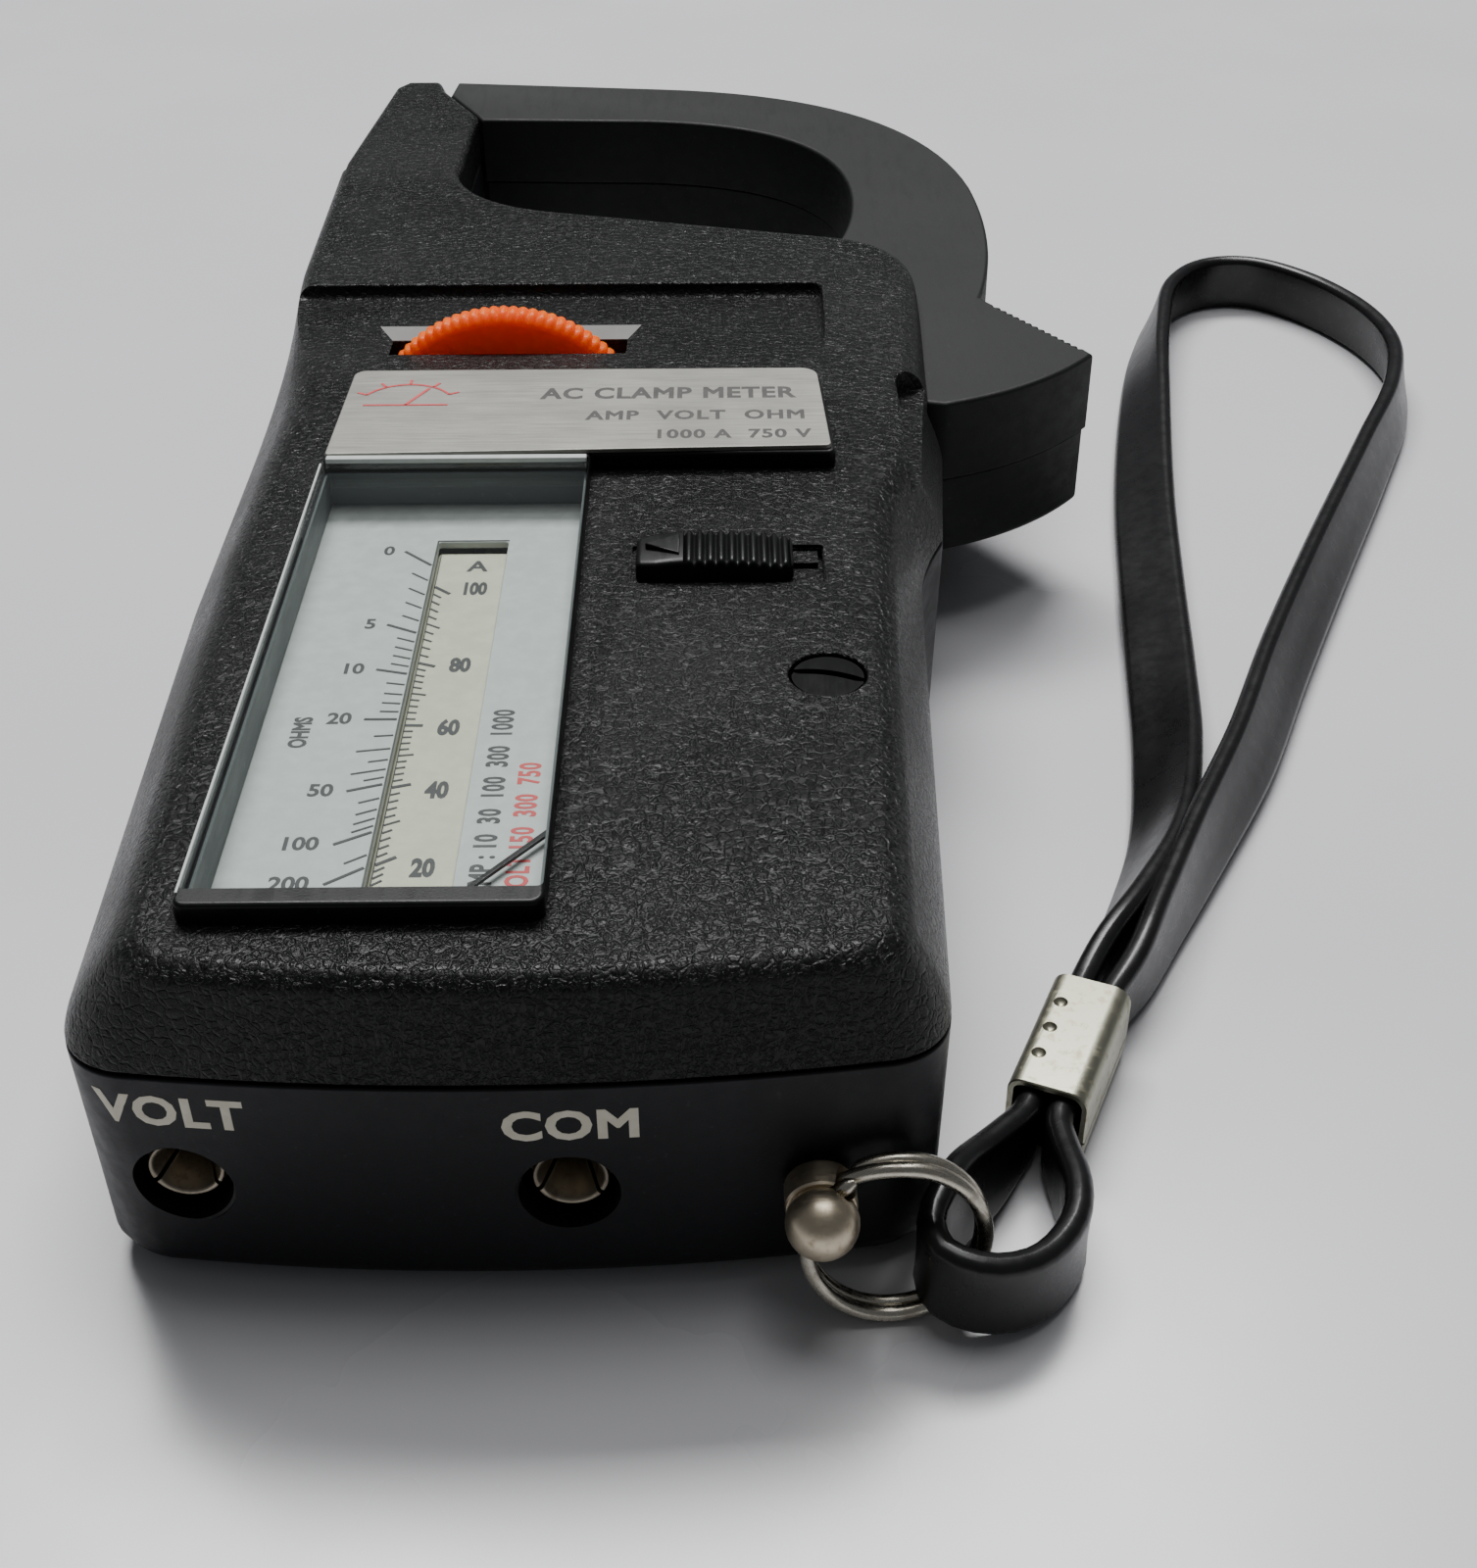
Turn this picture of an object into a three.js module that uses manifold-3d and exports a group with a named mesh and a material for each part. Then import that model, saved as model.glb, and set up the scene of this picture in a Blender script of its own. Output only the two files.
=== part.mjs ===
// Analogue clamp-on current tester, lying on its back.
// Millimetres, +Z up out of the dial, +Y from the jacks towards the jaws, +X to the right of the dial.
import * as THREE from "three";
import { mergeVertices } from "three/addons/utils/BufferGeometryUtils.js";
import Module from "manifold-3d";

const wasm = await Module();
wasm.setup();

// ---------------------------------------------------------------- driving dimensions
const GAP = 0.3;
const WALL = 2.2;

const PART_Z = 24;
const FACE_Z = 34;
const BEZEL_Z = 36;
const BACK_PAD = 0.9;
const CEILING_Z = FACE_Z - 2;

const JAW_LOW = 10;
const JAW_TOP = 30;
const JAW_MID = 20;
const JAW_OPEN_DEG = 28;
const JAW_CLEAR = 0.4;
const FINGER_TOP = 31;
const PIVOT = new THREE.Vector2(33, 125);
const PIVOT_PIN_R = 2;

const DRUM_X = -8.3;
const DRUM_Z = 21.2;
const DRUM_SIDES = 8;
const DRUM_APOTHEM = 8.3;
const DRUM_NEAR = 9.2;
const DRUM_FAR = 66;
const SHAFT_R = 2;
const WHEEL_R = 17.1;
const WHEEL_NEAR = 106.6;
const WHEEL_FAR = 110.6;
const WHEEL_TEETH = 90;

const DIAL_TOP = 30.6;
const DIAL_THICK = 0.7;
const SLOT_HALF = 3.6;
const WINDOW = { left: -23.4, right: 2.3, near: 2.6, far: 74 };
const FLAG = { left: -24.7, right: 3.5, far: 75.6, top: 96, wide: 29.2, near: 1 };

const METER = new THREE.Vector2(16.8, 33.6);
const YOKE_R = 7.6;
const CORE_R = 3.6;
const POINTER_L = 39.5;
const POINTER_Z = 31.15;
const POINTER_REST_DEG = 231.3;
const COIL_REST_DEG = 47;

const SLIDER = { x: 16.4, y: 55.4, length: 15.2, width: 6.2, tall: 2.5, travel: 2.8 };
const TRACK = { left: 8.3, right: 27.1, near: 51.9, far: 59.2, deep: 0.35 };
const ZERO_SLOT_DEG = -14;
const ZERO = { x: 26.5, y: 35.6, r: 3.25 };

const JACK_Z = 11.8;
const VOLT_JACK = new THREE.Vector2(-26.4, -4.6);
const COM_JACK = new THREE.Vector2(4.6, -6.0);
const JACK_R = 3.1;
const JACK_BORE_R = 1.25;
const JACK_SET_BACK = 1.9;
const JACK_MOUTH_DEEP = 3.4;
const JACK_RECESS_R = 4;

const STUD = { x: 24.5, face: -4.9, hole: -6.6, z: 11.9, r: 2.9, ball: -9.3 };
const RING = { x: 30.5, y: -7.25, z: 7.9, r: 7.2, radial: 1, axial: 2, yaw: 5, lean: 9 };
const RING_SWING_DEG = 24;

const CRIMP = { x: 45, y: 9.4, length: 15.3, wall: 0.55, heading: 66.6 };
const STRAP = { wide: 6.4, thick: 2.4, z: 4.4, apart: 2.9, lift: 1.7 };

// Each case screw's place and how high its post rises inside the cover.
const SCREW_POSTS = [[-30.4, 17, 27.4], [28.4, 12, 31.2], [-31.4, 127.5, 31.2], [14, 124.5, 31.2]];
const POST_R = 3.8;
const SCREW_R = 1.4;

// ---------------------------------------------------------------- helpers
const radians = THREE.MathUtils.degToRad;

// A closed geometry as a solid that can be cut and joined.
function solid(geometry) {
  const bare = geometry.clone();
  bare.deleteAttribute("normal");
  bare.deleteAttribute("uv");
  const merged = mergeVertices(bare, 1e-4);
  const mesh = new wasm.Mesh({
    numProp: 3,
    vertProperties: Float32Array.from(merged.attributes.position.array),
    triVerts: Uint32Array.from(merged.index.array),
  });
  return new wasm.Manifold(mesh);
}

function toGeometry(manifold) {
  const mesh = manifold.getMesh();
  const geometry = new THREE.BufferGeometry();
  geometry.setAttribute("position", new THREE.BufferAttribute(mesh.vertProperties, 3));
  geometry.setIndex(new THREE.BufferAttribute(mesh.triVerts, 1));
  geometry.computeVertexNormals();
  return geometry;
}

function box(x0, x1, y0, y1, z0, z1) {
  const geometry = new THREE.BoxGeometry(x1 - x0, y1 - y0, z1 - z0);
  geometry.translate((x0 + x1) / 2, (y0 + y1) / 2, (z0 + z1) / 2);
  return solid(geometry);
}

// A cylinder that stands on z0 at (x, y).
function post(x, y, z0, z1, r, sides = 20, topR = r) {
  const geometry = new THREE.CylinderGeometry(topR, r, z1 - z0, sides);
  geometry.rotateX(Math.PI / 2);
  geometry.translate(x, y, (z0 + z1) / 2);
  return solid(geometry);
}

// A cylinder along Y from y0 to y1 about (x, z).
function rod(x, z, y0, y1, r, sides = 20, farR = r) {
  const geometry = new THREE.CylinderGeometry(farR, r, y1 - y0, sides);
  geometry.rotateY(Math.PI / sides);
  geometry.translate(x, (y0 + y1) / 2, z);
  return solid(geometry);
}

function shapeOf(points) {
  return new THREE.Shape(points.map(([x, y]) => new THREE.Vector2(x, y)));
}

function plate(points, z0, z1, steps = 1) {
  const geometry = new THREE.ExtrudeGeometry(shapeOf(points), { depth: z1 - z0, bevelEnabled: false, steps });
  geometry.translate(0, 0, z0);
  return geometry;
}

const slab = (points, z0, z1) => solid(plate(points, z0, z1));

// Moves every vertex of a geometry by a rule of its place.
function warp(geometry, rule) {
  const place = geometry.attributes.position;
  const point = new THREE.Vector3();
  for (let i = 0; i < place.count; i += 1) {
    point.fromBufferAttribute(place, i);
    rule(point);
    place.setXYZ(i, point.x, point.y, point.z);
  }
  return geometry;
}

// Splits the long edges of an outline, so that a side can curve when it is warped.
function refine(points, longest) {
  const out = [];
  points.forEach(([x0, y0], i) => {
    const [x1, y1] = points[(i + 1) % points.length];
    const pieces = Math.max(1, Math.ceil(Math.hypot(x1 - x0, y1 - y0) / longest));
    for (let k = 0; k < pieces; k += 1) {
      out.push([x0 + ((x1 - x0) * k) / pieces, y0 + ((y1 - y0) * k) / pieces]);
    }
  });
  return out;
}

// An outline moved inwards by d (outwards where d is negative); points run anticlockwise.
function inset(points, d) {
  const count = points.length;
  return points.map(([x, y], i) => {
    const [px, py] = points[(i + count - 1) % count];
    const [nx, ny] = points[(i + 1) % count];
    const before = new THREE.Vector2(x - px, y - py).normalize();
    const after = new THREE.Vector2(nx - x, ny - y).normalize();
    const inward = new THREE.Vector2(-before.y - after.y, before.x + after.x).normalize();
    const spread = Math.max(0.4, inward.x * -after.y + inward.y * after.x);
    return [x + (inward.x * d) / spread, y + (inward.y * d) / spread];
  });
}

function curvePoints(draw, divisions) {
  const path = new THREE.Path();
  draw(path);
  const points = path.getPoints(divisions).map((p) => [p.x, p.y]);
  return points.filter(([x, y], i) => {
    const [nx, ny] = points[(i + 1) % points.length];
    return Math.hypot(nx - x, ny - y) > 0.05;
  });
}

// A flat band of constant width along a line of centres.
function ribbon(centres, width) {
  const curve = new THREE.CatmullRomCurve3(centres.map(([x, y]) => new THREE.Vector3(x, y, 0)));
  const left = [];
  const right = [];
  for (let i = 0; i <= 16; i += 1) {
    const at = curve.getPointAt(i / 16);
    const along = curve.getTangentAt(i / 16);
    left.push([at.x - (along.y * width) / 2, at.y + (along.x * width) / 2]);
    right.push([at.x + (along.y * width) / 2, at.y - (along.x * width) / 2]);
  }
  return [...right, ...left.reverse()];
}

const materials = {
  grain: { color: 0x1b1c1d, roughness: 0.55, metalness: 0 },
  smooth: { color: 0x15171b, roughness: 0.45, metalness: 0 },
  jaw: { color: 0x2b2d2e, roughness: 0.6, metalness: 0 },
  clear: { color: 0xe8eeee, roughness: 0.05, metalness: 0, transparent: true, opacity: 0.3 },
  silver: { color: 0xc9c6bd, roughness: 0.4, metalness: 0.8 },
  white: { color: 0xe6ebe9, roughness: 0.6, metalness: 0 },
  beige: { color: 0xe3dfcf, roughness: 0.6, metalness: 0 },
  orange: { color: 0xff5a0a, roughness: 0.5, metalness: 0 },
  steel: { color: 0x9b9a96, roughness: 0.35, metalness: 1 },
  nickel: { color: 0xb9ad97, roughness: 0.3, metalness: 1 },
  brass: { color: 0xb08d45, roughness: 0.4, metalness: 1 },
  copper: { color: 0xa6562a, roughness: 0.4, metalness: 0.8 },
  iron: { color: 0x55555a, roughness: 0.6, metalness: 0.9 },
  board: { color: 0x7a6a35, roughness: 0.6, metalness: 0 },
  cream: { color: 0xd9cfae, roughness: 0.6, metalness: 0 },
  vinyl: { color: 0x121212, roughness: 0.4, metalness: 0 },
};

const meter = new THREE.Group();

function add(name, manifold, look) {
  const mesh = new THREE.Mesh(toGeometry(manifold), new THREE.MeshStandardMaterial(materials[look]));
  mesh.name = name;
  meter.add(mesh);
}

// ---------------------------------------------------------------- outlines in plan
// The body at the parting line: bowed jack end, long sides, trigger guard and slanted jaw end.
const bodyPlan = curvePoints((p) => {
  p.moveTo(-37.9, 171);
  p.lineTo(-37, 125);
  p.lineTo(-36.9, 60);
  p.lineTo(-34.9, 3);
  p.quadraticCurveTo(-34.9, -3.6, -29.5, -4.7);
  p.quadraticCurveTo(0, -8.6, 30, -4.2);
  p.quadraticCurveTo(34.9, -3.2, 35, 2.5);
  p.lineTo(37.4, 55);
  p.lineTo(38, 66);
  p.quadraticCurveTo(38.4, 71, 41.2, 77.5);
  p.lineTo(43.2, 100);
  p.lineTo(43.2, 129);
  p.quadraticCurveTo(42.8, 140.3, 34, 143);
  p.lineTo(-5, 153);
  p.quadraticCurveTo(-19, 156.5, -20.7, 171);
}, 5);

// The fixed jaw finger, which both case halves carry.
const fingerPlan = [
  [-37.9, 168], [-20.7, 168], [-20.4, 203], [-26.6, 215.6], [-27.9, 220.4], [-33.4, 220.4],
  [-35.1, 217.5], [-38, 182],
];

// Hook, pivot boss and trigger: one lever.
const jawPlan = curvePoints((p) => {
  p.moveTo(-26.1, 216.2);
  p.lineTo(-19.9, 203.6);
  p.lineTo(6, 202.4);
  p.bezierCurveTo(25, 200.5, 36.2, 190, 36, 168);
  p.quadraticCurveTo(35.6, 152, 29, 142);
  p.quadraticCurveTo(22.5, 133, 23.6, 125);
  p.quadraticCurveTo(25, 108.5, 36, 101.5);
  p.lineTo(43.2, 99.6);
  p.quadraticCurveTo(55, 103.5, 62.4, 113.4);
  p.lineTo(50.6, 131);
  p.bezierCurveTo(53.6, 143, 54.8, 156, 53.4, 172);
  p.bezierCurveTo(50.4, 197, 36.5, 215.5, 8, 218.8);
  p.lineTo(-25.6, 222.8);
}, 7);

const jawCoreLine = [
  [-20.5, 211.2], [5, 209.9], [24, 206], [37, 196.5], [43.8, 182], [44.8, 164], [41.8, 147], [38, 139],
];

// How far the cover's long sides lean in: strongly beside the dial, barely at the jaws.
function lean(point) {
  const up = THREE.MathUtils.clamp((point.z - PART_Z) / (FACE_Z - PART_Z), 0, 1);
  const jawEnd = THREE.MathUtils.smoothstep(point.y, 90, 135);
  const leftIn = THREE.MathUtils.lerp(6.2, 1.2, jawEnd);
  const rightIn = THREE.MathUtils.lerp(4.2, 1.6, jawEnd);
  const side = point.x < 0 ? leftIn : -rightIn;
  const reach = Math.min(1, Math.abs(point.x) / 35);
  point.x += side * up ** 1.4 * reach;
  if (point.y < 0) {
    point.y += 0.9 * up;
  }
}

function draft(point) {
  const down = THREE.MathUtils.clamp(1 - point.z / PART_Z, 0, 1);
  point.x *= 1 - 0.012 * down;
  point.y += point.y < 0 ? 1.1 * down : 0;
}

// ---------------------------------------------------------------- swept space of the jaw lever
function jawAt(degrees, points, z0, z1) {
  return slab(points, z0, z1)
    .translate([-PIVOT.x, -PIVOT.y, 0])
    .rotate([0, 0, degrees])
    .translate([PIVOT.x, PIVOT.y, 0]);
}

function jawSweep() {
  const fat = inset(jawPlan, -JAW_CLEAR);
  let sweep = jawAt(0, fat, JAW_LOW - JAW_CLEAR, JAW_TOP + JAW_CLEAR);
  for (let degrees = -7; degrees >= -JAW_OPEN_DEG; degrees -= 7) {
    sweep = sweep.add(jawAt(degrees, fat, JAW_LOW - JAW_CLEAR, JAW_TOP + JAW_CLEAR));
  }
  return sweep.intersect(box(20, 70, 84, 160, 0, FACE_Z));
}

const sweep = jawSweep();

// ---------------------------------------------------------------- case halves
function rearCase() {
  const outer = solid(warp(plate(refine(bodyPlan, 14), BACK_PAD, PART_Z - 0.15), draft));
  const pad = slab(inset(bodyPlan, 3.4), 0, BACK_PAD + 0.4);
  const hollow = solid(warp(plate(refine(inset(bodyPlan, WALL), 14), BACK_PAD + WALL, PART_Z + 4), draft));
  const finger = slab(fingerPlan, JAW_LOW - 1, PART_Z - 0.15);
  const fingerHollow = slab(inset(fingerPlan, WALL), JAW_LOW + 1.2, PART_Z + 4);
  let shell = outer.add(pad).add(finger).subtract(hollow).subtract(fingerHollow);
  shell = shell.subtract(box(-33.5, -22.9, 160, 175, JAW_LOW + 1.2, PART_Z + 4));
  SCREW_POSTS.forEach(([x, y]) => {
    shell = shell.add(post(x, y, BACK_PAD + 1, PART_Z - 0.15, POST_R));
  });
  shell = shell.add(post(PIVOT.x, PIVOT.y, BACK_PAD + 1, JAW_LOW - JAW_CLEAR, 4.6));
  SCREW_POSTS.forEach(([x, y]) => {
    shell = shell.subtract(post(x, y, -1, 4, 3.1)).subtract(post(x, y, -1, PART_Z + 1, SCREW_R + 0.3));
  });
  shell = shell.subtract(post(PIVOT.x, PIVOT.y, 3.4, PART_Z, PIVOT_PIN_R + GAP));
  [VOLT_JACK, COM_JACK].forEach((jack) => {
    shell = shell.subtract(rod(jack.x, JACK_Z, jack.y - 6, jack.y + JACK_SET_BACK, JACK_RECESS_R, 24));
    shell = shell.subtract(rod(jack.x, JACK_Z, jack.y - 6, jack.y + 8, JACK_R + GAP, 24));
  });
  shell = shell.subtract(rod(STUD.x, STUD.z, -12, 4, 1.8 + GAP, 16));
  return shell.subtract(sweep);
}

function frontCover() {
  const outer = solid(warp(plate(refine(bodyPlan, 12), PART_Z + 0.15, FACE_Z, 4), lean));
  const hollow = solid(warp(plate(refine(inset(bodyPlan, WALL), 12), PART_Z - 4, CEILING_Z, 4), lean));
  const finger = slab(fingerPlan, PART_Z + 0.15, FINGER_TOP);
  const fingerHollow = slab(inset(fingerPlan, WALL), PART_Z - 4, FINGER_TOP - 2);
  const guardSolid = box(34.4, 60, 46, 102, PART_Z - 4, FACE_Z);
  let shell = outer.add(finger).subtract(hollow.subtract(guardSolid)).subtract(fingerHollow);
  shell = shell.subtract(box(-33.5, -22.9, 160, 175, PART_Z - 4, FINGER_TOP - 2));
  SCREW_POSTS.forEach(([x, y, top]) => {
    shell = shell.add(post(x, y, PART_Z + 0.15, top, POST_R - 0.2));
  });
  shell = shell.add(post(PIVOT.x, PIVOT.y, JAW_TOP + JAW_CLEAR, CEILING_Z + 0.5, 4.6));
  shell = shell.add(wheelWell());
  shell = shell.subtract(wheelRecess());
  SCREW_POSTS.forEach(([x, y, top]) => {
    shell = shell.subtract(post(x, y, PART_Z - 1, top - 1, SCREW_R + 0.3));
  });
  shell = shell.subtract(post(PIVOT.x, PIVOT.y, PART_Z, 31.6, PIVOT_PIN_R + GAP));
  shell = shell.subtract(box(WINDOW.left, WINDOW.right, WINDOW.near, WINDOW.far, PART_Z, FACE_Z + 1));
  shell = shell.subtract(guardStep());
  shell = shell.subtract(box(TRACK.left, TRACK.right, TRACK.near, TRACK.far, FACE_Z - TRACK.deep, 36));
  const stemRight = SLIDER.x + 4 + SLIDER.travel;
  shell = shell.subtract(box(SLIDER.x - 4, stemRight, SLIDER.y - 1.6, SLIDER.y + 1.6, 30, 36));
  shell = shell.subtract(post(ZERO.x, ZERO.y, 30, 36, ZERO.r + GAP, 24));
  return shell.subtract(sweep);
}

// The scoop over the thumbwheel: a ramp that deepens towards the jaws and is open at the left side.
function wheelRecess() {
  const ramp = new THREE.Shape([
    new THREE.Vector2(103.5, FACE_Z), new THREE.Vector2(127, FACE_Z - 1.7), new THREE.Vector2(127, FACE_Z + 3),
    new THREE.Vector2(103.5, FACE_Z + 3),
  ]);
  const scoop = new THREE.ExtrudeGeometry(ramp, { depth: 80, bevelEnabled: false });
  scoop.rotateY(Math.PI / 2);
  scoop.rotateX(Math.PI / 2);
  scoop.translate(-50.4, 0, 0);
  const slot = box(-23.2, 6.6, WHEEL_NEAR - 1, WHEEL_FAR + 1.2, PART_Z, FACE_Z + 2);
  const funnelEnd = shapeOf([[-23.2, 30], [6.6, 30], [8.6, FACE_Z + 2], [-25.2, FACE_Z + 2]]);
  const funnel = new THREE.ExtrudeGeometry(funnelEnd, {
    depth: 9.6,
    bevelEnabled: false,
  });
  funnel.rotateX(Math.PI / 2);
  funnel.translate(0, WHEEL_NEAR + 8.6, 0);
  const bevel = solid(warp(funnel, (p) => {
    p.y = p.y > WHEEL_NEAR + 2 && p.z < 31 ? WHEEL_FAR + 1.2 : p.y;
  }));
  return solid(scoop).add(slot).add(bevel);
}

// Thickening under the scoop, so that the ramp keeps a wall below it.
function wheelWell() {
  return box(-33, 31.5, 101, 129, CEILING_Z - 1.6, CEILING_Z + 0.2).subtract(box(20, 40, 90, 140, 20, 40));
}

// The lower ledge beside the trigger, with its rounded far end.
function guardStep() {
  const ledge = box(36.6, 60, 62, 98, 31.5, FACE_Z + 1);
  return ledge.add(post(40.4, 98, 31.5, FACE_Z + 1, 3.8, 24));
}

// ---------------------------------------------------------------- window, dial and nameplate
function flagPlan() {
  return [
    [FLAG.left, FLAG.near], [FLAG.right, FLAG.near], [FLAG.right, FLAG.far], [FLAG.wide, FLAG.far],
    [FLAG.wide - 1, FLAG.top - 1.6], [FLAG.wide - 2.4, FLAG.top], [FLAG.left + 1.6, FLAG.top],
    [FLAG.left, FLAG.top - 1.6],
  ];
}

function lensFrame() {
  const flag = slab(flagPlan(), FACE_Z + 0.15, BEZEL_Z);
  const { left, right, near, far } = WINDOW;
  const skirt = box(left + GAP, right - GAP, near + GAP, far - GAP, 32.6, BEZEL_Z - 0.2);
  const opening = box(left + 1, right - 1, near + 1, far - 1, 20, 40);
  const seat = box(left + 0.4, right - 0.4, near + 0.4, far - 0.4, 34.5, 40);
  return flag.add(skirt).subtract(opening).subtract(seat);
}

function lens() {
  const edge = 0.4 + GAP;
  return box(WINDOW.left + edge, WINDOW.right - edge, WINDOW.near + edge, WINDOW.far - edge, 34.7, 35.7);
}

function nameplate() {
  const points = [
    [FLAG.left + 1, FLAG.far - 0.4], [FLAG.wide - 1, FLAG.far + 0.6], [FLAG.wide - 1.7, FLAG.top - 1.8],
    [FLAG.wide - 2.8, FLAG.top - 0.8], [FLAG.left + 2, FLAG.top - 0.8], [FLAG.left + 1, FLAG.top - 1.8],
  ];
  return slab(points, BEZEL_Z + 0.1, BEZEL_Z + 0.5);
}

function dialPlate() {
  const low = DIAL_TOP - DIAL_THICK;
  const plateBody = box(-26.2, 13, 2.2, 74.6, low, DIAL_TOP);
  const drumSlot = box(DRUM_X - SLOT_HALF, DRUM_X + SLOT_HALF, 8.8, 66.4, low - 1, DIAL_TOP + 1);
  const posts = box(-26.2, -23, 20, 26, 24.5, low + 0.1).add(box(-26.2, -23, 52, 58, 24.5, low + 0.1));
  return plateBody.add(posts).subtract(drumSlot);
}

// ---------------------------------------------------------------- range selector
function thumbwheel() {
  const points = [];
  for (let i = 0; i < WHEEL_TEETH; i += 1) {
    for (const [part, r] of [[0.1, WHEEL_R - 0.55], [0.35, WHEEL_R], [0.7, WHEEL_R]]) {
      const turn = ((i + part) / WHEEL_TEETH) * 2 * Math.PI;
      points.push([r * Math.cos(turn), r * Math.sin(turn)]);
    }
  }
  const disc = slab(points, 0, WHEEL_FAR - WHEEL_NEAR);
  const bore = post(0, 0, -1, 9, SHAFT_R + GAP);
  return disc.subtract(bore).rotate([90, 0, 0]).translate([DRUM_X, WHEEL_FAR, DRUM_Z]);
}

function scaleDrum() {
  const geometry = new THREE.CylinderGeometry(1, 1, DRUM_FAR - DRUM_NEAR, DRUM_SIDES);
  const r = DRUM_APOTHEM / Math.cos(Math.PI / DRUM_SIDES);
  geometry.scale(r, 1, r);
  geometry.rotateY(Math.PI / DRUM_SIDES);
  geometry.translate(DRUM_X, (DRUM_NEAR + DRUM_FAR) / 2, DRUM_Z);
  return solid(geometry).subtract(rod(DRUM_X, DRUM_Z, 0, 90, SHAFT_R + GAP));
}

// A disc on the selector shaft, with a bore for it.
function shaftDisc(y0, y1, r, sides = 24) {
  return rod(DRUM_X, DRUM_Z, y0, y1, r, sides).subtract(rod(DRUM_X, DRUM_Z, y0 - 1, y1 + 1, SHAFT_R + GAP));
}

function detentWheel() {
  let star = shaftDisc(98, 101, 7.4, 32);
  for (let i = 0; i < DRUM_SIDES; i += 1) {
    const turn = (i / DRUM_SIDES) * 2 * Math.PI;
    star = star.subtract(rod(DRUM_X + 7.9 * Math.sin(turn), DRUM_Z + 7.9 * Math.cos(turn), 97, 102, 1.5, 12));
  }
  return star;
}

function detentSpring() {
  const leaf = box(DRUM_X - 8.6, DRUM_X - 8, 98.2, 100.8, 4.8, DRUM_Z + 3);
  const foot = box(DRUM_X - 13, DRUM_X - 8, 98.2, 100.8, 4.8, 5.5);
  return leaf.add(foot);
}

function bearing(y0, y1, top) {
  const block = box(DRUM_X - 5, DRUM_X + 5, y0, y1, BACK_PAD + WALL + GAP, top);
  return block.subtract(rod(DRUM_X, DRUM_Z, y0 - 1, y1 + 1, SHAFT_R + GAP));
}

function switchStator() {
  const wall = box(DRUM_X - 15, DRUM_X + 15, 90.4, 92, 5.2, 30);
  return wall.subtract(rod(DRUM_X, DRUM_Z, 80, 99, SHAFT_R + 1));
}

function switchWiper() {
  const arm = box(DRUM_X - 1.4, DRUM_X + 1.4, 89.2, 90, DRUM_Z - 8.4, DRUM_Z + 8.4);
  return arm.add(rod(DRUM_X, DRUM_Z, 89.2, 90, 4)).subtract(rod(DRUM_X, DRUM_Z, 80, 99, SHAFT_R + GAP));
}

// ---------------------------------------------------------------- meter movement
const atMeter = (x0, x1, y0, y1, z0, z1) => box(METER.x + x0, METER.x + x1, METER.y + y0, METER.y + y1, z0, z1);
const meterPost = (z0, z1, r, sides) => post(METER.x, METER.y, z0, z1, r, sides);

const turned = (manifold, degrees) => manifold
  .translate([-METER.x, -METER.y, 0])
  .rotate([0, 0, degrees])
  .translate([METER.x, METER.y, 0]);

function yoke() {
  return meterPost(8, 20, YOKE_R, 32).subtract(meterPost(7, 21, YOKE_R - 1.5, 32));
}

function magnetCore() {
  const arms = atMeter(-0.9, 0.9, -(YOKE_R - 1.8), YOKE_R - 1.8, 12, 16);
  return meterPost(9, 19, CORE_R, 24).add(arms).subtract(meterPost(8, 20, 1));
}

function coil() {
  const frame = atMeter(-5.1, 5.1, -0.7, 0.7, 7.2, 20.8).subtract(atMeter(-4.2, 4.2, -2, 2, 8.2, 19.8));
  const hubs = meterPost(7.2, 8.2, 1.7, 16).add(meterPost(19.8, 20.8, 1.7, 16));
  return turned(frame.add(hubs).subtract(meterPost(0, 40, 0.6 + 0.25, 12)), COIL_REST_DEG);
}

function pivotShaft() {
  return meterPost(6, 30.9, 0.6, 10);
}

function hairSpring() {
  class Spiral extends THREE.Curve {
    getPoint(t, target = new THREE.Vector3()) {
      const turn = t * 2.5 * 2 * Math.PI;
      const r = 1.5 + 2.6 * t;
      return target.set(r * Math.cos(turn), r * Math.sin(turn), 0);
    }
  }
  const section = shapeOf([[-0.35, -0.12], [0.35, -0.12], [0.35, 0.12], [-0.35, 0.12]]);
  const strip = new THREE.ExtrudeGeometry(section, { steps: 50, bevelEnabled: false, extrudePath: new Spiral() });
  strip.translate(METER.x, METER.y, 22.6);
  return solid(strip);
}

function movementBridge() {
  const span = atMeter(-7.2, 7.2, -2, 2, 24.6, 26).add(atMeter(-7.2, -5.4, -2, 2, 20.4, 25));
  return span.add(atMeter(5.4, 7.2, -2, 2, 20.4, 25)).subtract(meterPost(20, 30, 1.6 + GAP, 16));
}

function jewel(z0, z1) {
  return meterPost(z0, z1, 1.6, 16).subtract(meterPost(z0 - 1, z1 + 1, 0.6 + 0.2, 12));
}

function movementBase() {
  const foot = atMeter(-7.2, 7.2, -7.2, 7.2, BACK_PAD + WALL + GAP, 4.6).add(atMeter(-3, 3, -3, 3, 4, 6.6));
  const legs = atMeter(-7.2, -5.6, -2.4, 2.4, 4, 7.8).add(atMeter(5.6, 7.2, -2.4, 2.4, 4, 7.8));
  return foot.add(legs).subtract(meterPost(5, 8, 1.6 + GAP, 16)).subtract(meterPost(4.2, 8, 0.9, 12));
}

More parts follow.
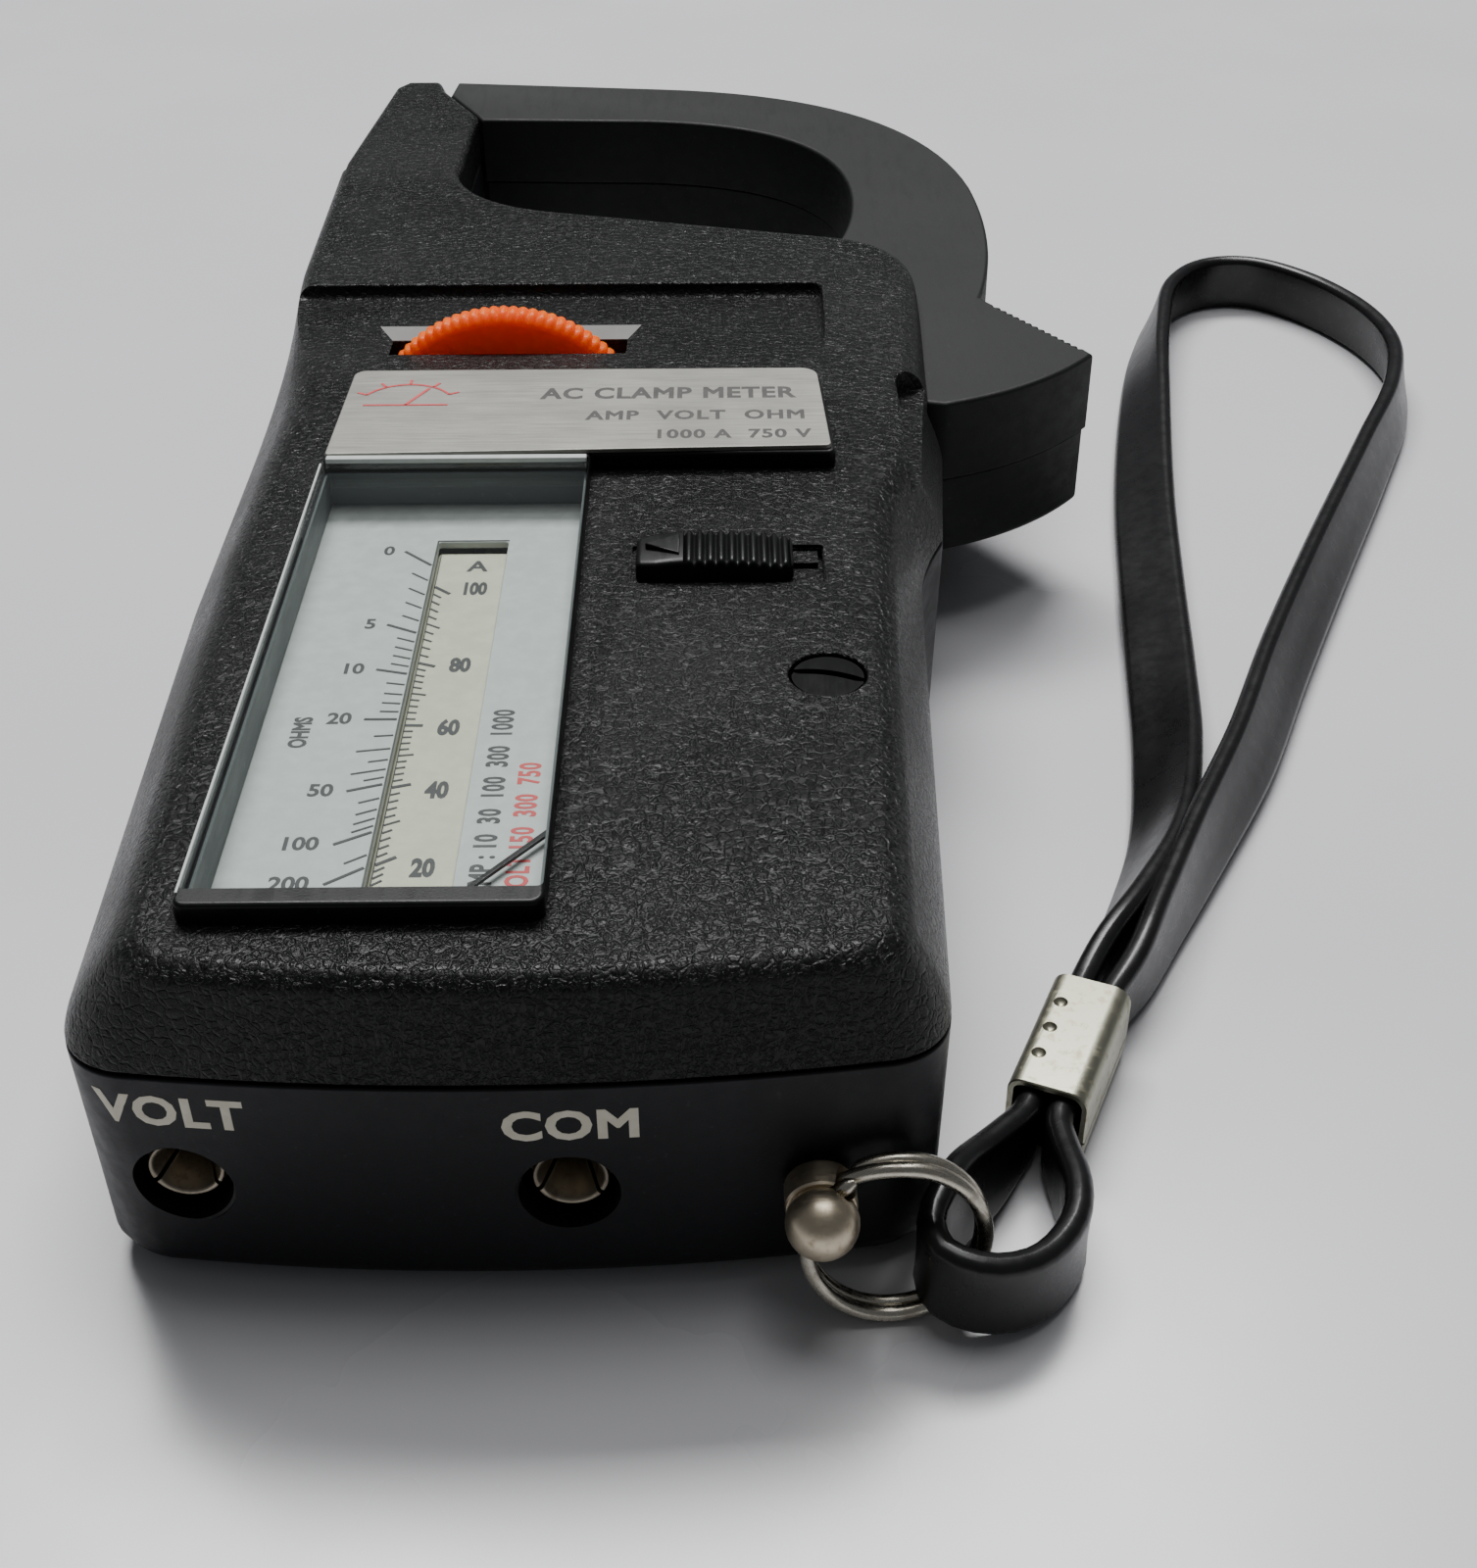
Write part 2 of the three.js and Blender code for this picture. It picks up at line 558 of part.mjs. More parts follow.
// Hub, needle and counterweight arm, built pointing along +X and turned to rest.
function pointer() {
  const hub = post(0, 0, POINTER_Z, POINTER_Z + 0.5, 1.5, 16);
  const needle = slab([[1, -0.55], [POINTER_L * 0.55, -0.3], [POINTER_L, -0.16], [POINTER_L, 0.16],
    [POINTER_L * 0.55, 0.3], [1, 0.55]], POINTER_Z, POINTER_Z + 0.35);
  const tail = slab([[-3, -0.4], [-1, -0.4], [-1, 0.4], [-3, 0.4]], POINTER_Z, POINTER_Z + 0.35);
  return hub.add(needle).add(tail).rotate([0, 0, POINTER_REST_DEG]).translate([METER.x, METER.y, 0]);
}

function counterweight() {
  const drop = post(-4.1, 0, POINTER_Z - 0.2, POINTER_Z + 0.6, 0.8, 12);
  return drop.rotate([0, 0, POINTER_REST_DEG]).translate([METER.x, METER.y, 0]);
}

function zeroScrew() {
  const head = post(ZERO.x, ZERO.y, 32.5, FACE_Z + 0.45, ZERO.r, 28);
  const slot = box(ZERO.x - 4, ZERO.x + 4, ZERO.y - 0.45, ZERO.y + 0.45, FACE_Z - 0.5, FACE_Z + 1);
  const centred = slot.translate([-ZERO.x, -ZERO.y, 0]).rotate([0, 0, ZERO_SLOT_DEG]);
  const turned = centred.translate([ZERO.x, ZERO.y, 0]);
  return head.subtract(turned);
}

// ---------------------------------------------------------------- pointer lock slider
function lockSlider() {
  const half = SLIDER.length / 2;
  const wide = SLIDER.width / 2;
  const z = FACE_Z - TRACK.deep + 0.2;
  let knob = box(SLIDER.x - half, SLIDER.x + half, SLIDER.y - wide, SLIDER.y + wide, z, z + SLIDER.tall);
  for (let i = 0; i < 10; i += 1) {
    const x = SLIDER.x - half + 4.9 + i;
    knob = knob.subtract(box(x, x + 0.45, SLIDER.y - 4, SLIDER.y + 4, z + SLIDER.tall - 0.5, z + 3));
  }
  const stem = box(SLIDER.x - 3.6, SLIDER.x + 3.6, SLIDER.y - 1.3, SLIDER.y + 1.3, CEILING_Z - 0.25, z + 0.1);
  return knob.add(stem);
}

// The slider's plate under the cover, with the arm that stops the needle.
function lockPlate() {
  const low = CEILING_Z - 1.1;
  const high = CEILING_Z - 0.4;
  const pad = box(SLIDER.x - 5.4, SLIDER.x + 5.4, SLIDER.y - 2.6, SLIDER.y + 2.6, low, high);
  return pad.add(box(SLIDER.x - 5.4, SLIDER.x - 3.8, SLIDER.y - 8.8, SLIDER.y, low, high));
}

// ---------------------------------------------------------------- jaws, cores and spring
function jawHalf(z0, z1) {
  const half = slab(jawPlan, z0, z1);
  const channel = slab(ribbon(jawCoreLine, 9.4), JAW_LOW + 4.8, JAW_TOP - 4.8);
  return half.subtract(channel).subtract(post(PIVOT.x, PIVOT.y, 0, 40, PIVOT_PIN_R + GAP, 20));
}

function fixedCore() {
  const heading = -14.3;
  const finger = box(-32.4, -24, 147, 205, 15.2, 24.6);
  const base = box(-0.5, 50, -4.3, 4.3, 15.2, 24.6).rotate([0, 0, heading]).translate([-31, 149, 0]);
  return finger.add(base);
}

function transformerCoil() {
  const winding = box(22, 37, -7.4, 7.4, 12, 27.8);
  const bore = box(0, 60, -4.6, 4.6, 14.9, 24.9);
  return winding.subtract(bore).rotate([0, 0, -14.3]).translate([-31, 149, 0]);
}

function returnSpring() {
  class Coil extends THREE.Curve {
    getPoint(t, target = new THREE.Vector3()) {
      const turn = t * 2.5 * 2 * Math.PI;
      return target.set(6 * Math.cos(turn), 6 * Math.sin(turn), 4.2 + 4 * t);
    }
  }
  const section = new THREE.Shape();
  section.absarc(0, 0, 0.5, 0, 2 * Math.PI);
  const wire = new THREE.ExtrudeGeometry(section, {
    steps: 40, curveSegments: 5, bevelEnabled: false, extrudePath: new Coil(),
  });
  wire.translate(PIVOT.x, PIVOT.y, 0);
  return solid(wire);
}

// ---------------------------------------------------------------- jacks, stud, ring, crimp and strap
function jackSocket(jack) {
  const front = jack.y + JACK_SET_BACK;
  const tube = rod(jack.x, JACK_Z, front, jack.y + 17, JACK_R, 24);
  const bore = rod(jack.x, JACK_Z, jack.y - 2, jack.y + 14, JACK_BORE_R, 24);
  const mouth = rod(jack.x, JACK_Z, front - 0.1, front + JACK_MOUTH_DEEP, JACK_R - 0.25, 24, JACK_BORE_R);
  return tube.subtract(bore).subtract(mouth);
}

function jackNut(jack) {
  const hex = rod(jack.x, JACK_Z, jack.y + 4.4, jack.y + 6.4, 4.3, 6);
  return hex.subtract(rod(jack.x, JACK_Z, jack.y, jack.y + 10, JACK_R + GAP, 20));
}

function ringSolid(grow) {
  const r = RING.r;
  const a = RING.radial / 2 + grow;
  const b = RING.axial / 2 + grow;
  const profile = [[r - a, -b * 0.6], [r - a * 0.5, -b], [r + a * 0.5, -b], [r + a, -b * 0.6], [r + a, b * 0.6],
    [r + a * 0.5, b], [r - a * 0.5, b], [r - a, b * 0.6], [r - a, -b * 0.6],
  ].map(([x, y]) => new THREE.Vector2(x, y));
  const ring = new THREE.LatheGeometry(profile, 30);
  ring.rotateX(radians(-RING.lean));
  ring.rotateZ(radians(RING.yaw));
  ring.translate(RING.x, RING.y, RING.z);
  return solid(ring);
}

// The ring turned about the vertical line through the stud's cross-hole.
function ringAt(degrees, grow) {
  return ringSolid(grow)
    .translate([-STUD.x, -STUD.hole, 0])
    .rotate([0, 0, degrees])
    .translate([STUD.x, STUD.hole, 0]);
}

function strapStud() {
  const shank = rod(STUD.x, STUD.z, STUD.face + 0.5, 1.8, 1.8, 20);
  const barrel = rod(STUD.x, STUD.z, STUD.face - 3, STUD.face, STUD.r, 20);
  const ballGeometry = new THREE.SphereGeometry(STUD.r + 0.05, 20, 12);
  ballGeometry.translate(STUD.x, STUD.ball, STUD.z);
  const neck = rod(STUD.x, STUD.z, STUD.face - 0.5, STUD.face + 1, 1.8, 20);
  let stud = shank.add(neck).add(barrel).add(solid(ballGeometry));
  for (let degrees = 0; degrees >= -RING_SWING_DEG; degrees -= 8) {
    stud = stud.subtract(ringAt(degrees, 0.25));
  }
  return stud.decompose().sort((p, q) => q.volume() - p.volume())[0];
}

function crimpSleeve() {
  const across = (STRAP.apart + STRAP.thick + 0.6) / 2;
  const tall = STRAP.wide / 2 + 0.25;
  const w = CRIMP.wall;
  const outer = box(0, CRIMP.length, -across - w, across + w, STRAP.z - tall - w, STRAP.z + tall + w);
  const inner = box(-1, CRIMP.length + 1, -across, across, STRAP.z - tall, STRAP.z + tall);
  return outer.subtract(inner).rotate([0, 0, CRIMP.heading]).translate([CRIMP.x, CRIMP.y, 0]);
}

// A place in the crimp: along its length, on its left (-1) or right (+1) strand.
function inCrimp(along, side) {
  const a = radians(CRIMP.heading);
  const off = (side * STRAP.apart) / 2;
  return [CRIMP.x + along * Math.cos(a) + off * Math.sin(a), CRIMP.y + along * Math.sin(a) - off * Math.cos(a)];
}

// The strap's line on the table: both ends meet in the crimp, one loop holds the ring, one the wrist.
const strapLine = [
  inCrimp(6.6, 1), inCrimp(0, 1), inCrimp(-1.5, 1),
  [45.9, 3.4], [46.2, -0.8], [45.2, -5.2], [41.8, -9.3], [37.6, -10.7], [34.2, -9.5], [33.4, -6.6], [35.3, -2.8],
  [38, 1.4], [40.9, 5.4], inCrimp(-1.5, -1), inCrimp(0, -1), inCrimp(CRIMP.length, -1),
  [52.6, 30.2], [57, 38.3], [62.4, 50.5], [66.2, 67], [68.6, 84], [71, 104], [74, 127], [78.4, 153], [83, 175],
  [88.4, 191], [95.4, 198.4], [103, 199], [110.7, 192.5], [116.6, 180.7], [118.2, 168], [115, 154], [106.8, 135.6],
  [92.9, 106], [83, 84.2], [74.9, 65.2], [66.9, 49.4], [60.8, 37.4], [56.4, 28.8],
  inCrimp(CRIMP.length, 1), inCrimp(8, 1),
];

function wristStrap() {
  const path = new THREE.CatmullRomCurve3(strapLine.map(([x, y]) => new THREE.Vector3(x, y, STRAP.z)), false, "centripetal");
  const h = STRAP.wide / 2;
  const t = STRAP.thick / 2;
  const section = shapeOf([[-h, -t + 0.5], [-h + 0.5, -t], [h - 0.5, -t], [h, -t + 0.5], [h, t - 0.5], [h - 0.5, t],
    [-h + 0.5, t], [-h, t - 0.5]]);
  const band = new THREE.ExtrudeGeometry(section, { steps: 80, bevelEnabled: false, extrudePath: path });
  warp(band, (p) => {
    const near = Math.hypot(p.x - 33.5, p.y + 5.5);
    p.z += STRAP.lift * (1 - THREE.MathUtils.smoothstep(near, 3, 11));
  });
  return solid(band);
}

// ---------------------------------------------------------------- assembly
add("rear_case", rearCase(), "smooth");
add("front_cover", frontCover(), "grain");
add("lens_frame", lensFrame(), "smooth");
add("window_lens", lens(), "clear");
add("nameplate", nameplate(), "silver");
add("dial_plate", dialPlate(), "white");

add("thumbwheel", thumbwheel(), "orange");
add("selector_shaft", rod(DRUM_X, DRUM_Z, 2.4, 118, SHAFT_R, 16), "steel");
add("scale_drum", scaleDrum(), "beige");
add("switch_rotor", shaftDisc(84, 88.8, 9.6), "cream");
add("switch_wiper", switchWiper(), "brass");
add("detent_wheel", detentWheel(), "steel");
add("detent_spring", detentSpring(), "brass");
add("shaft_bearing_near", bearing(3.2, 6.2, 26), "smooth");
add("shaft_bearing_far", bearing(113.6, 116.6, 26), "smooth");
add("switch_stator", switchStator(), "board");

add("movement_base", movementBase(), "brass");
add("magnet_yoke", yoke(), "iron");
add("magnet_core", magnetCore(), "iron");
add("moving_coil", coil(), "copper");
add("coil_shaft", pivotShaft(), "steel");
add("hair_spring", hairSpring(), "brass");
add("movement_bridge", movementBridge(), "brass");
add("lower_jewel", jewel(5.3, 6.6), "brass");
add("upper_jewel", jewel(24.8, 25.9), "brass");
add("pointer", pointer(), "smooth");
add("pointer_counterweight", counterweight(), "brass");
add("zero_screw", zeroScrew(), "smooth");
add("lock_slider", lockSlider(), "smooth");
add("lock_plate", lockPlate(), "steel");

add("jaw_front_half", jawHalf(JAW_MID + 0.05, JAW_TOP), "jaw");
add("jaw_rear_half", jawHalf(JAW_LOW, JAW_MID - 0.05), "jaw");
add("moving_core", slab(ribbon(jawCoreLine, 8.8), 15.2, 24.8), "iron");
add("fixed_core", fixedCore(), "iron");
add("transformer_coil", transformerCoil(), "copper");
add("jaw_pivot_pin", post(PIVOT.x, PIVOT.y, 3.6, 31.4, PIVOT_PIN_R, 20), "steel");
add("jaw_return_spring", returnSpring(), "steel");

add("circuit_board", box(-31, 33, 62, 97, 3.6, 5), "board");
for (let i = 0; i < 4; i += 1) {
  add(`range_resistor_${i + 1}`, rod(14 + i * 4.6, 6.9, 68, 76, 1.4, 12), "cream");
}
SCREW_POSTS.forEach(([x, y, top], i) => {
  const head = post(x, y, 1.4, 3.6, 2.7, 20);
  const cross = box(-2, 2, -0.4, 0.4, 0, 2.2).add(box(-0.4, 0.4, -2, 2, 0, 2.2)).translate([x, y, 0]);
  add(`case_screw_${i + 1}`, head.add(post(x, y, 3, top - 1.4, SCREW_R, 12)).subtract(cross), "steel");
});

add("jack_socket_volt", jackSocket(VOLT_JACK), "nickel");
add("jack_socket_com", jackSocket(COM_JACK), "nickel");
add("jack_nut_volt", jackNut(VOLT_JACK), "brass");
add("jack_nut_com", jackNut(COM_JACK), "brass");
add("strap_stud", strapStud(), "nickel");
add("split_ring", ringAt(0, 0), "steel");
add("crimp_sleeve", crimpSleeve(), "nickel");
add("wrist_strap", wristStrap(), "vinyl");

export default meter;
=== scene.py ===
"""Analogue clamp-on tester lying on its back on a pale table.

Helpers take millimetres in the object's frame: X to the right of the dial, Y from the
jacks towards the jaws, Z up out of the dial. Meshes are made in metres.
"""

import math

import bmesh
import bpy
from mathutils import Matrix, Vector


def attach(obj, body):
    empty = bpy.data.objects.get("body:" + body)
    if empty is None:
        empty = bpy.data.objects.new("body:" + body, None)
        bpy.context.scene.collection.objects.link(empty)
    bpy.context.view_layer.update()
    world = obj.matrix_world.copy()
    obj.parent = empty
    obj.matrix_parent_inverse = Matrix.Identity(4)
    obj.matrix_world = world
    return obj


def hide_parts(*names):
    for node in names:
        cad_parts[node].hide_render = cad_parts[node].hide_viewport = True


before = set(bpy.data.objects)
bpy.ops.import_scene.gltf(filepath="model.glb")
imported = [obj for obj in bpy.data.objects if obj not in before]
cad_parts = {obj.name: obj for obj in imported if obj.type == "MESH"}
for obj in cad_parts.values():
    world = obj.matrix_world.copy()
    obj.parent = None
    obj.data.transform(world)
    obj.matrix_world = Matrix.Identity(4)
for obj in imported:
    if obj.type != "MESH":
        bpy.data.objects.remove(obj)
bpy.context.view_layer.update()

MM = 0.001
TAU = 2 * math.pi

# ---------------------------------------------------------------- sizes shared with the CAD model
BACK_PAD = 0.9
WALL = 2.2
PART_Z = 24.0
FACE_Z = 34.0
BEZEL_Z = 36.0
FINGER_LOW = 9.0
FINGER_TOP = 31.0
SEAM = 0.15

JAW_LOW = 10.0
JAW_MID = 20.0
JAW_TOP = 30.0
PIVOT = (33.0, 125.0)

DRUM_X = -8.3
DRUM_Z = 21.2
DRUM_SIDES = 8
DRUM_APOTHEM = 8.3
DRUM_NEAR = 9.2
DRUM_FAR = 66.0
WHEEL_R = 17.1
WHEEL_NEAR = 106.6
WHEEL_TEETH = 90
SHAFT_R = 2.0

DIAL_TOP = 30.6
WINDOW_NEAR = 2.6
FLAG = {"left": -24.7, "right": 3.5, "near": 1.0, "far": 75.6, "top": 96.0, "wide": 29.2}

NEEDLE_PIVOT = (16.8, 33.6)
NEEDLE_LENGTH = 39.5
NEEDLE_Z = 31.15
NEEDLE_REST = 231.3

SLIDER = {"x": 16.4, "y": 55.4, "length": 15.2, "width": 6.2, "base": 33.85, "travel": 2.8}
TRACK = {"left": 8.3, "right": 27.1, "near": 51.9, "far": 59.2, "deep": 0.35}
ZERO_SCREW = {"x": 26.5, "y": 35.6, "r": 3.25}

JACK_Z = 11.8
JACKS = {"volt": (-26.4, -4.6), "com": (4.6, -6.0)}
JACK_R = 3.1
JACK_RECESS_R = 4.0
JACK_SET_BACK = 1.9

STUD = {"x": 24.5, "z": 11.9, "r": 2.9, "face": -4.9, "hole": -6.6, "ball": -9.3}
RING = {"x": 30.5, "y": -7.25, "z": 7.9, "r": 7.2, "yaw": 5.0, "lean": 9.0}
CRIMP = {"x": 45.0, "y": 9.4, "length": 15.3, "heading": 66.6}
SCREW_PLACES = [(-30.4, 17.0), (28.4, 12.0), (-31.4, 127.5), (14.0, 124.5)]


# ---------------------------------------------------------------- camera
def make_camera():
    look_down, look_right, roll = (math.radians(a) for a in (35.7, 0.5, 0.2))
    ahead = Vector((math.sin(look_right) * math.cos(look_down), math.cos(look_right) * math.cos(look_down),
                    -math.sin(look_down)))
    level = Vector((math.cos(look_right), -math.sin(look_right), 0))
    down = ahead.cross(level)
    right = math.cos(roll) * level + math.sin(roll) * down
    up = math.sin(roll) * level - math.cos(roll) * down
    data = bpy.data.cameras.new("camera")
    data.lens = 47.14
    data.sensor_width = 36
    data.clip_start = 0.01
    data.clip_end = 20
    camera = bpy.data.objects.new("camera", data)
    bpy.context.scene.collection.objects.link(camera)
    turn = Matrix((right, up, -ahead)).transposed().to_4x4()
    camera.matrix_world = Matrix.Translation((0.01711, -0.11931, 0.13322)) @ turn
    bpy.context.scene.camera = camera


make_camera()


# ---------------------------------------------------------------- mesh helpers
def smooth(t):
    """0 to 1 with level ends, for t from 0 to 1."""
    t = min(1.0, max(0.0, t))
    return t * t * (3 - 2 * t)


def mix(a, b, t):
    return a + (b - a) * t


def mix_points(a, b, t):
    return tuple(mix(u, v, t) for u, v in zip(a, b))


def rectangle(x0, x1, y0, y1):
    return [(x0, y0), (x1, y0), (x1, y1), (x0, y1)]


def mesh_piece(name, points, faces, material=None):
    """An object from points in millimetres, linked to the scene and not yet on a body."""
    mesh = bpy.data.meshes.new(name)
    mesh.from_pydata([Vector(p) * MM for p in points], [], faces)
    mesh.validate()
    skin = bmesh.new()
    skin.from_mesh(mesh)
    bmesh.ops.recalc_face_normals(skin, faces=skin.faces)
    skin.to_mesh(mesh)
    skin.free()
    piece = bpy.data.objects.new(name, mesh)
    bpy.context.scene.collection.objects.link(piece)
    if material is not None:
        mesh.materials.append(material)
    return piece


def stack(name, rings, material=None):
    """A closed solid from rings of equally many points; the first and last are capped."""
    count = len(rings[0])
    points = [p for ring in rings for p in ring]
    faces = []
    for level in range(len(rings) - 1):
        low, high = level * count, (level + 1) * count
        for i in range(count):
            j = (i + 1) % count
            faces.append((low + i, low + j, high + j, high + i))
    faces.append(tuple(range(count - 1, -1, -1)))
    last = (len(rings) - 1) * count
    faces.append(tuple(range(last, last + count)))
    return mesh_piece(name, points, faces, material)


def settle(piece):
    """Applies the piece's modifiers to its mesh."""
    graph = bpy.context.evaluated_depsgraph_get()
    mesh = bpy.data.meshes.new_from_object(piece.evaluated_get(graph))
    mesh.name = piece.name
    piece.modifiers.clear()
    piece.data = mesh
    return piece


def combine(piece, other, operation="DIFFERENCE"):
    """Cuts other out of piece, or joins it on with UNION, and removes other."""
    step = piece.modifiers.new("combine", "BOOLEAN")
    step.operation = operation
    step.solver = "EXACT"
    step.object = other
    settle(piece)
    bpy.data.objects.remove(other, do_unlink=True)
    return piece


def finish_surface(piece, sharp=35, merge=0.004):
    """Smooth shading with hard edges kept, and flat faces lit as flat."""
    weld = piece.modifiers.new("weld", "WELD")
    weld.merge_threshold = merge * MM
    settle(piece)
    piece.data.shade_smooth()
    piece.data.set_sharp_from_angle(angle=math.radians(sharp))
    weighted = piece.modifiers.new("normals", "WEIGHTED_NORMAL")
    weighted.keep_sharp = True
    weighted.weight = 100
    return piece


def place(piece, body, slot, *replaced):
    """Puts the piece on its body and hides the CAD nodes it stands for; slot is not used."""
    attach(piece, body)
    if replaced:
        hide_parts(*replaced)
    return piece


# ---------------------------------------------------------------- outlines
def outline(start, *moves, steps=14, longest=4.0):
    """Points along a path: a move of one point is a line, of two a quadratic and of three a cubic."""
    points = [start]
    for move in moves:
        here = points[-1]
        if isinstance(move[0], (int, float)):
            move = (move,)
        ctrl = [here, *move]
        if len(move) == 1:
            pieces = max(1, math.ceil(math.dist(here, move[0]) / longest))
        else:
            pieces = steps
        for k in range(1, pieces + 1):
            row = ctrl
            while len(row) > 1:
                row = [mix_points(a, b, k / pieces) for a, b in zip(row, row[1:])]
            points.append(row[0])
    if math.dist(points[0], points[-1]) < 0.01:
        points.pop()
    return points


def rounded(corners, radius, steps=5, longest=None):
    """A polygon with its corners rounded; radius is one number or one for each corner."""
    count = len(corners)
    radii = [radius] * count if isinstance(radius, (int, float)) else radius
    points = []
    for i, corner in enumerate(corners):
        here = Vector(corner)
        before = (Vector(corners[i - 1]) - here).normalized()
        after = (Vector(corners[(i + 1) % count]) - here).normalized()
        if radii[i] <= 0:
            points.append((here.x, here.y))
            continue
        half = before.angle(after) / 2
        reach = radii[i] / math.tan(half)
        centre = here + (before + after).normalized() * (radii[i] / math.sin(half))
        first = here + before * reach - centre
        sweep = math.pi - 2 * half
        sign = 1 if before.x * after.y - before.y * after.x < 0 else -1
        for k in range(steps + 1):
            angle = sign * sweep * k / steps
            c, s = math.cos(angle), math.sin(angle)
            points.append((centre.x + first.x * c - first.y * s, centre.y + first.x * s + first.y * c))
    if longest is None:
        return points
    fine = []
    for i, here in enumerate(points):
        there = points[(i + 1) % len(points)]
        pieces = max(1, math.ceil(math.dist(here, there) / longest))
        fine += [mix_points(here, there, k / pieces) for k in range(pieces)]
    return fine


def anticlockwise(points):
    area = sum(a[0] * b[1] - b[0] * a[1] for a, b in zip(points, points[1:] + points[:1]))
    return points if area > 0 else points[::-1]


def inset(points, d):
    """An anticlockwise outline moved inwards by d."""
    count = len(points)
    out = []
    for i, (x, y) in enumerate(points):
        px, py = points[i - 1]
        nx, ny = points[(i + 1) % count]
        before = Vector((x - px, y - py)).normalized()
        after = Vector((nx - x, ny - y)).normalized()
        inward = Vector((-before.y - after.y, before.x + after.x)).normalized()
        spread = max(0.35, inward.x * -after.y + inward.y * after.x)
        out.append((x + inward.x * d / spread, y + inward.y * d / spread))
    return untangled(points, out)


def untangled(points, moved_points):
    """Straightens the stretches of a moved outline that have turned back on themselves."""
    out = list(moved_points)
    count = len(out)
    for _ in range(6):
        back = [i for i in range(count)
                if (Vector(out[(i + 1) % count]) - Vector(out[i])).dot(
                    Vector(points[(i + 1) % count]) - Vector(points[i])) <= 0]
        if not back:
            break
        for i in back:
            first, last = out[i - 1], out[(i + 2) % count]
            out[i] = mix_points(first, last, 1 / 3)
            out[(i + 1) % count] = mix_points(first, last, 2 / 3)
    return out


def quarter(k, steps, radius):
    """(rise, inset) at step k of a round edge that starts on a face and ends on the wall above it."""
    a = k / steps * math.pi / 2
    return radius * (1 - math.cos(a)), radius * (1 - math.sin(a))


def edge_levels(low, high, low_round, high_round, steps=5, between=0):
    """(height, inset) pairs up a wall whose lower and upper edges are rounded."""
    levels = []
    for k in range(steps + 1 if low_round else 1):
        rise, d = quarter(k, steps, low_round)
        levels.append((low + rise, d))
    for k in range(1, between + 1):
        levels.append((mix(low + low_round, high - high_round, k / (between + 1)), 0))
    for k in range(steps + 1 if high_round else 1):
        drop, d = quarter(steps - k, steps, high_round)
        levels.append((high - drop, d))
    return levels


def slab(name, plan, low, high, low_round=0.0, high_round=0.0, bend=None, between=0, material=None, steps=5):
    """A plate of that plan from z low to z high with rounded edges, bent by bend(x, y, z) if given."""
    rings = []
    for z, d in edge_levels(low, high, low_round, high_round, steps, between):
        ring = [(x, y, z) for x, y in (inset(plan, d) if d > 1e-6 else plan)]
        rings.append([bend(*p) for p in ring] if bend else ring)
    return stack(name, rings, material)


def block(name, x0, x1, y0, y1, z0, z1, edge=0.0, material=None):
    plan = rectangle(x0, x1, y0, y1)
    if edge:
        plan = rounded(plan, edge, 3)
    return slab(name, plan, z0, z1, edge, edge, material=material, steps=3)


def disc_plan(x, y, r, sides=48):
    return [(x + r * math.cos(TAU * k / sides), y + r * math.sin(TAU * k / sides)) for k in range(sides)]


def turned(name, profile, sides=64, material=None):
    """A closed solid of revolution about Z; profile is (radius, height) pairs, lowest first."""
    rings = [[(r * math.cos(TAU * k / sides), r * math.sin(TAU * k / sides), z) for k in range(sides)]
             for r, z in profile]
    return stack(name, rings, material)


def lathe(name, profile, sides=64, material=None):
    """A solid of revolution about Z from a closed profile that goes round the wall of a tube."""
    count = len(profile)
    points = [(r * math.cos(TAU * k / sides), r * math.sin(TAU * k / sides), z)
              for k in range(sides) for r, z in profile]
    faces = []
    for k in range(sides):
        n = (k + 1) % sides
        for i in range(count):
            j = (i + 1) % count
            faces.append((k * count + i, n * count + i, n * count + j, k * count + j))
    return mesh_piece(name, points, faces, material)


def moved(piece, matrix):
    """Moves the mesh itself by a matrix whose translation is in millimetres."""
    scaled = matrix.copy()
    scaled.translation = matrix.translation * MM
    piece.data.transform(scaled)
    piece.data.update()
    return piece


def along_y(x, y, z):
    """Turns a piece built up Z so that it runs along Y from (x, y, z)."""
    return Matrix.Translation((x, y, z)) @ Matrix.Rotation(math.radians(-90), 4, "X")


# ---------------------------------------------------------------- material helpers
def node(tree, kind, inputs=None, **settings):
    """A shader node; an input is a value or another node's output socket."""
    made = tree.nodes.new(kind)
    for key, value in settings.items():
        setattr(made, key, value)
    for key, value in (inputs or {}).items():
        socket = made.inputs[key]
        if isinstance(value, bpy.types.NodeSocket):
            tree.links.new(value, socket)
        else:
            socket.default_value = value
    return made


def start_material(name, **fixed):
    """A material with its Principled node and coordinates in millimetres of the object's frame."""
    material = bpy.data.materials.new(name)
    material.use_nodes = True
    tree = material.node_tree
    shader = tree.nodes["Principled BSDF"]
    for key, value in fixed.items():
        shader.inputs[key.replace("_", " ")].default_value = value
    coords = node(tree, "ShaderNodeTexCoord").outputs["Object"]
    scaled = node(tree, "ShaderNodeVectorMath", {0: coords, "Scale": 1000.0}, operation="SCALE").outputs[0]
    return material, tree, shader, scaled


def noise(tree, coords, scale, detail=2.0, rough=0.5, distortion=0.0):
    return node(tree, "ShaderNodeTexNoise", {"Vector": coords, "Scale": scale, "Detail": detail,
                                             "Roughness": rough, "Distortion": distortion}).outputs["Fac"]


def remap(tree, value, low, high, to_low, to_high, soft=True):
    return node(tree, "ShaderNodeMapRange", {"Value": value, "From Min": low, "From Max": high,
                                             "To Min": to_low, "To Max": to_high},
                interpolation_type="SMOOTHSTEP" if soft else "LINEAR").outputs["Result"]


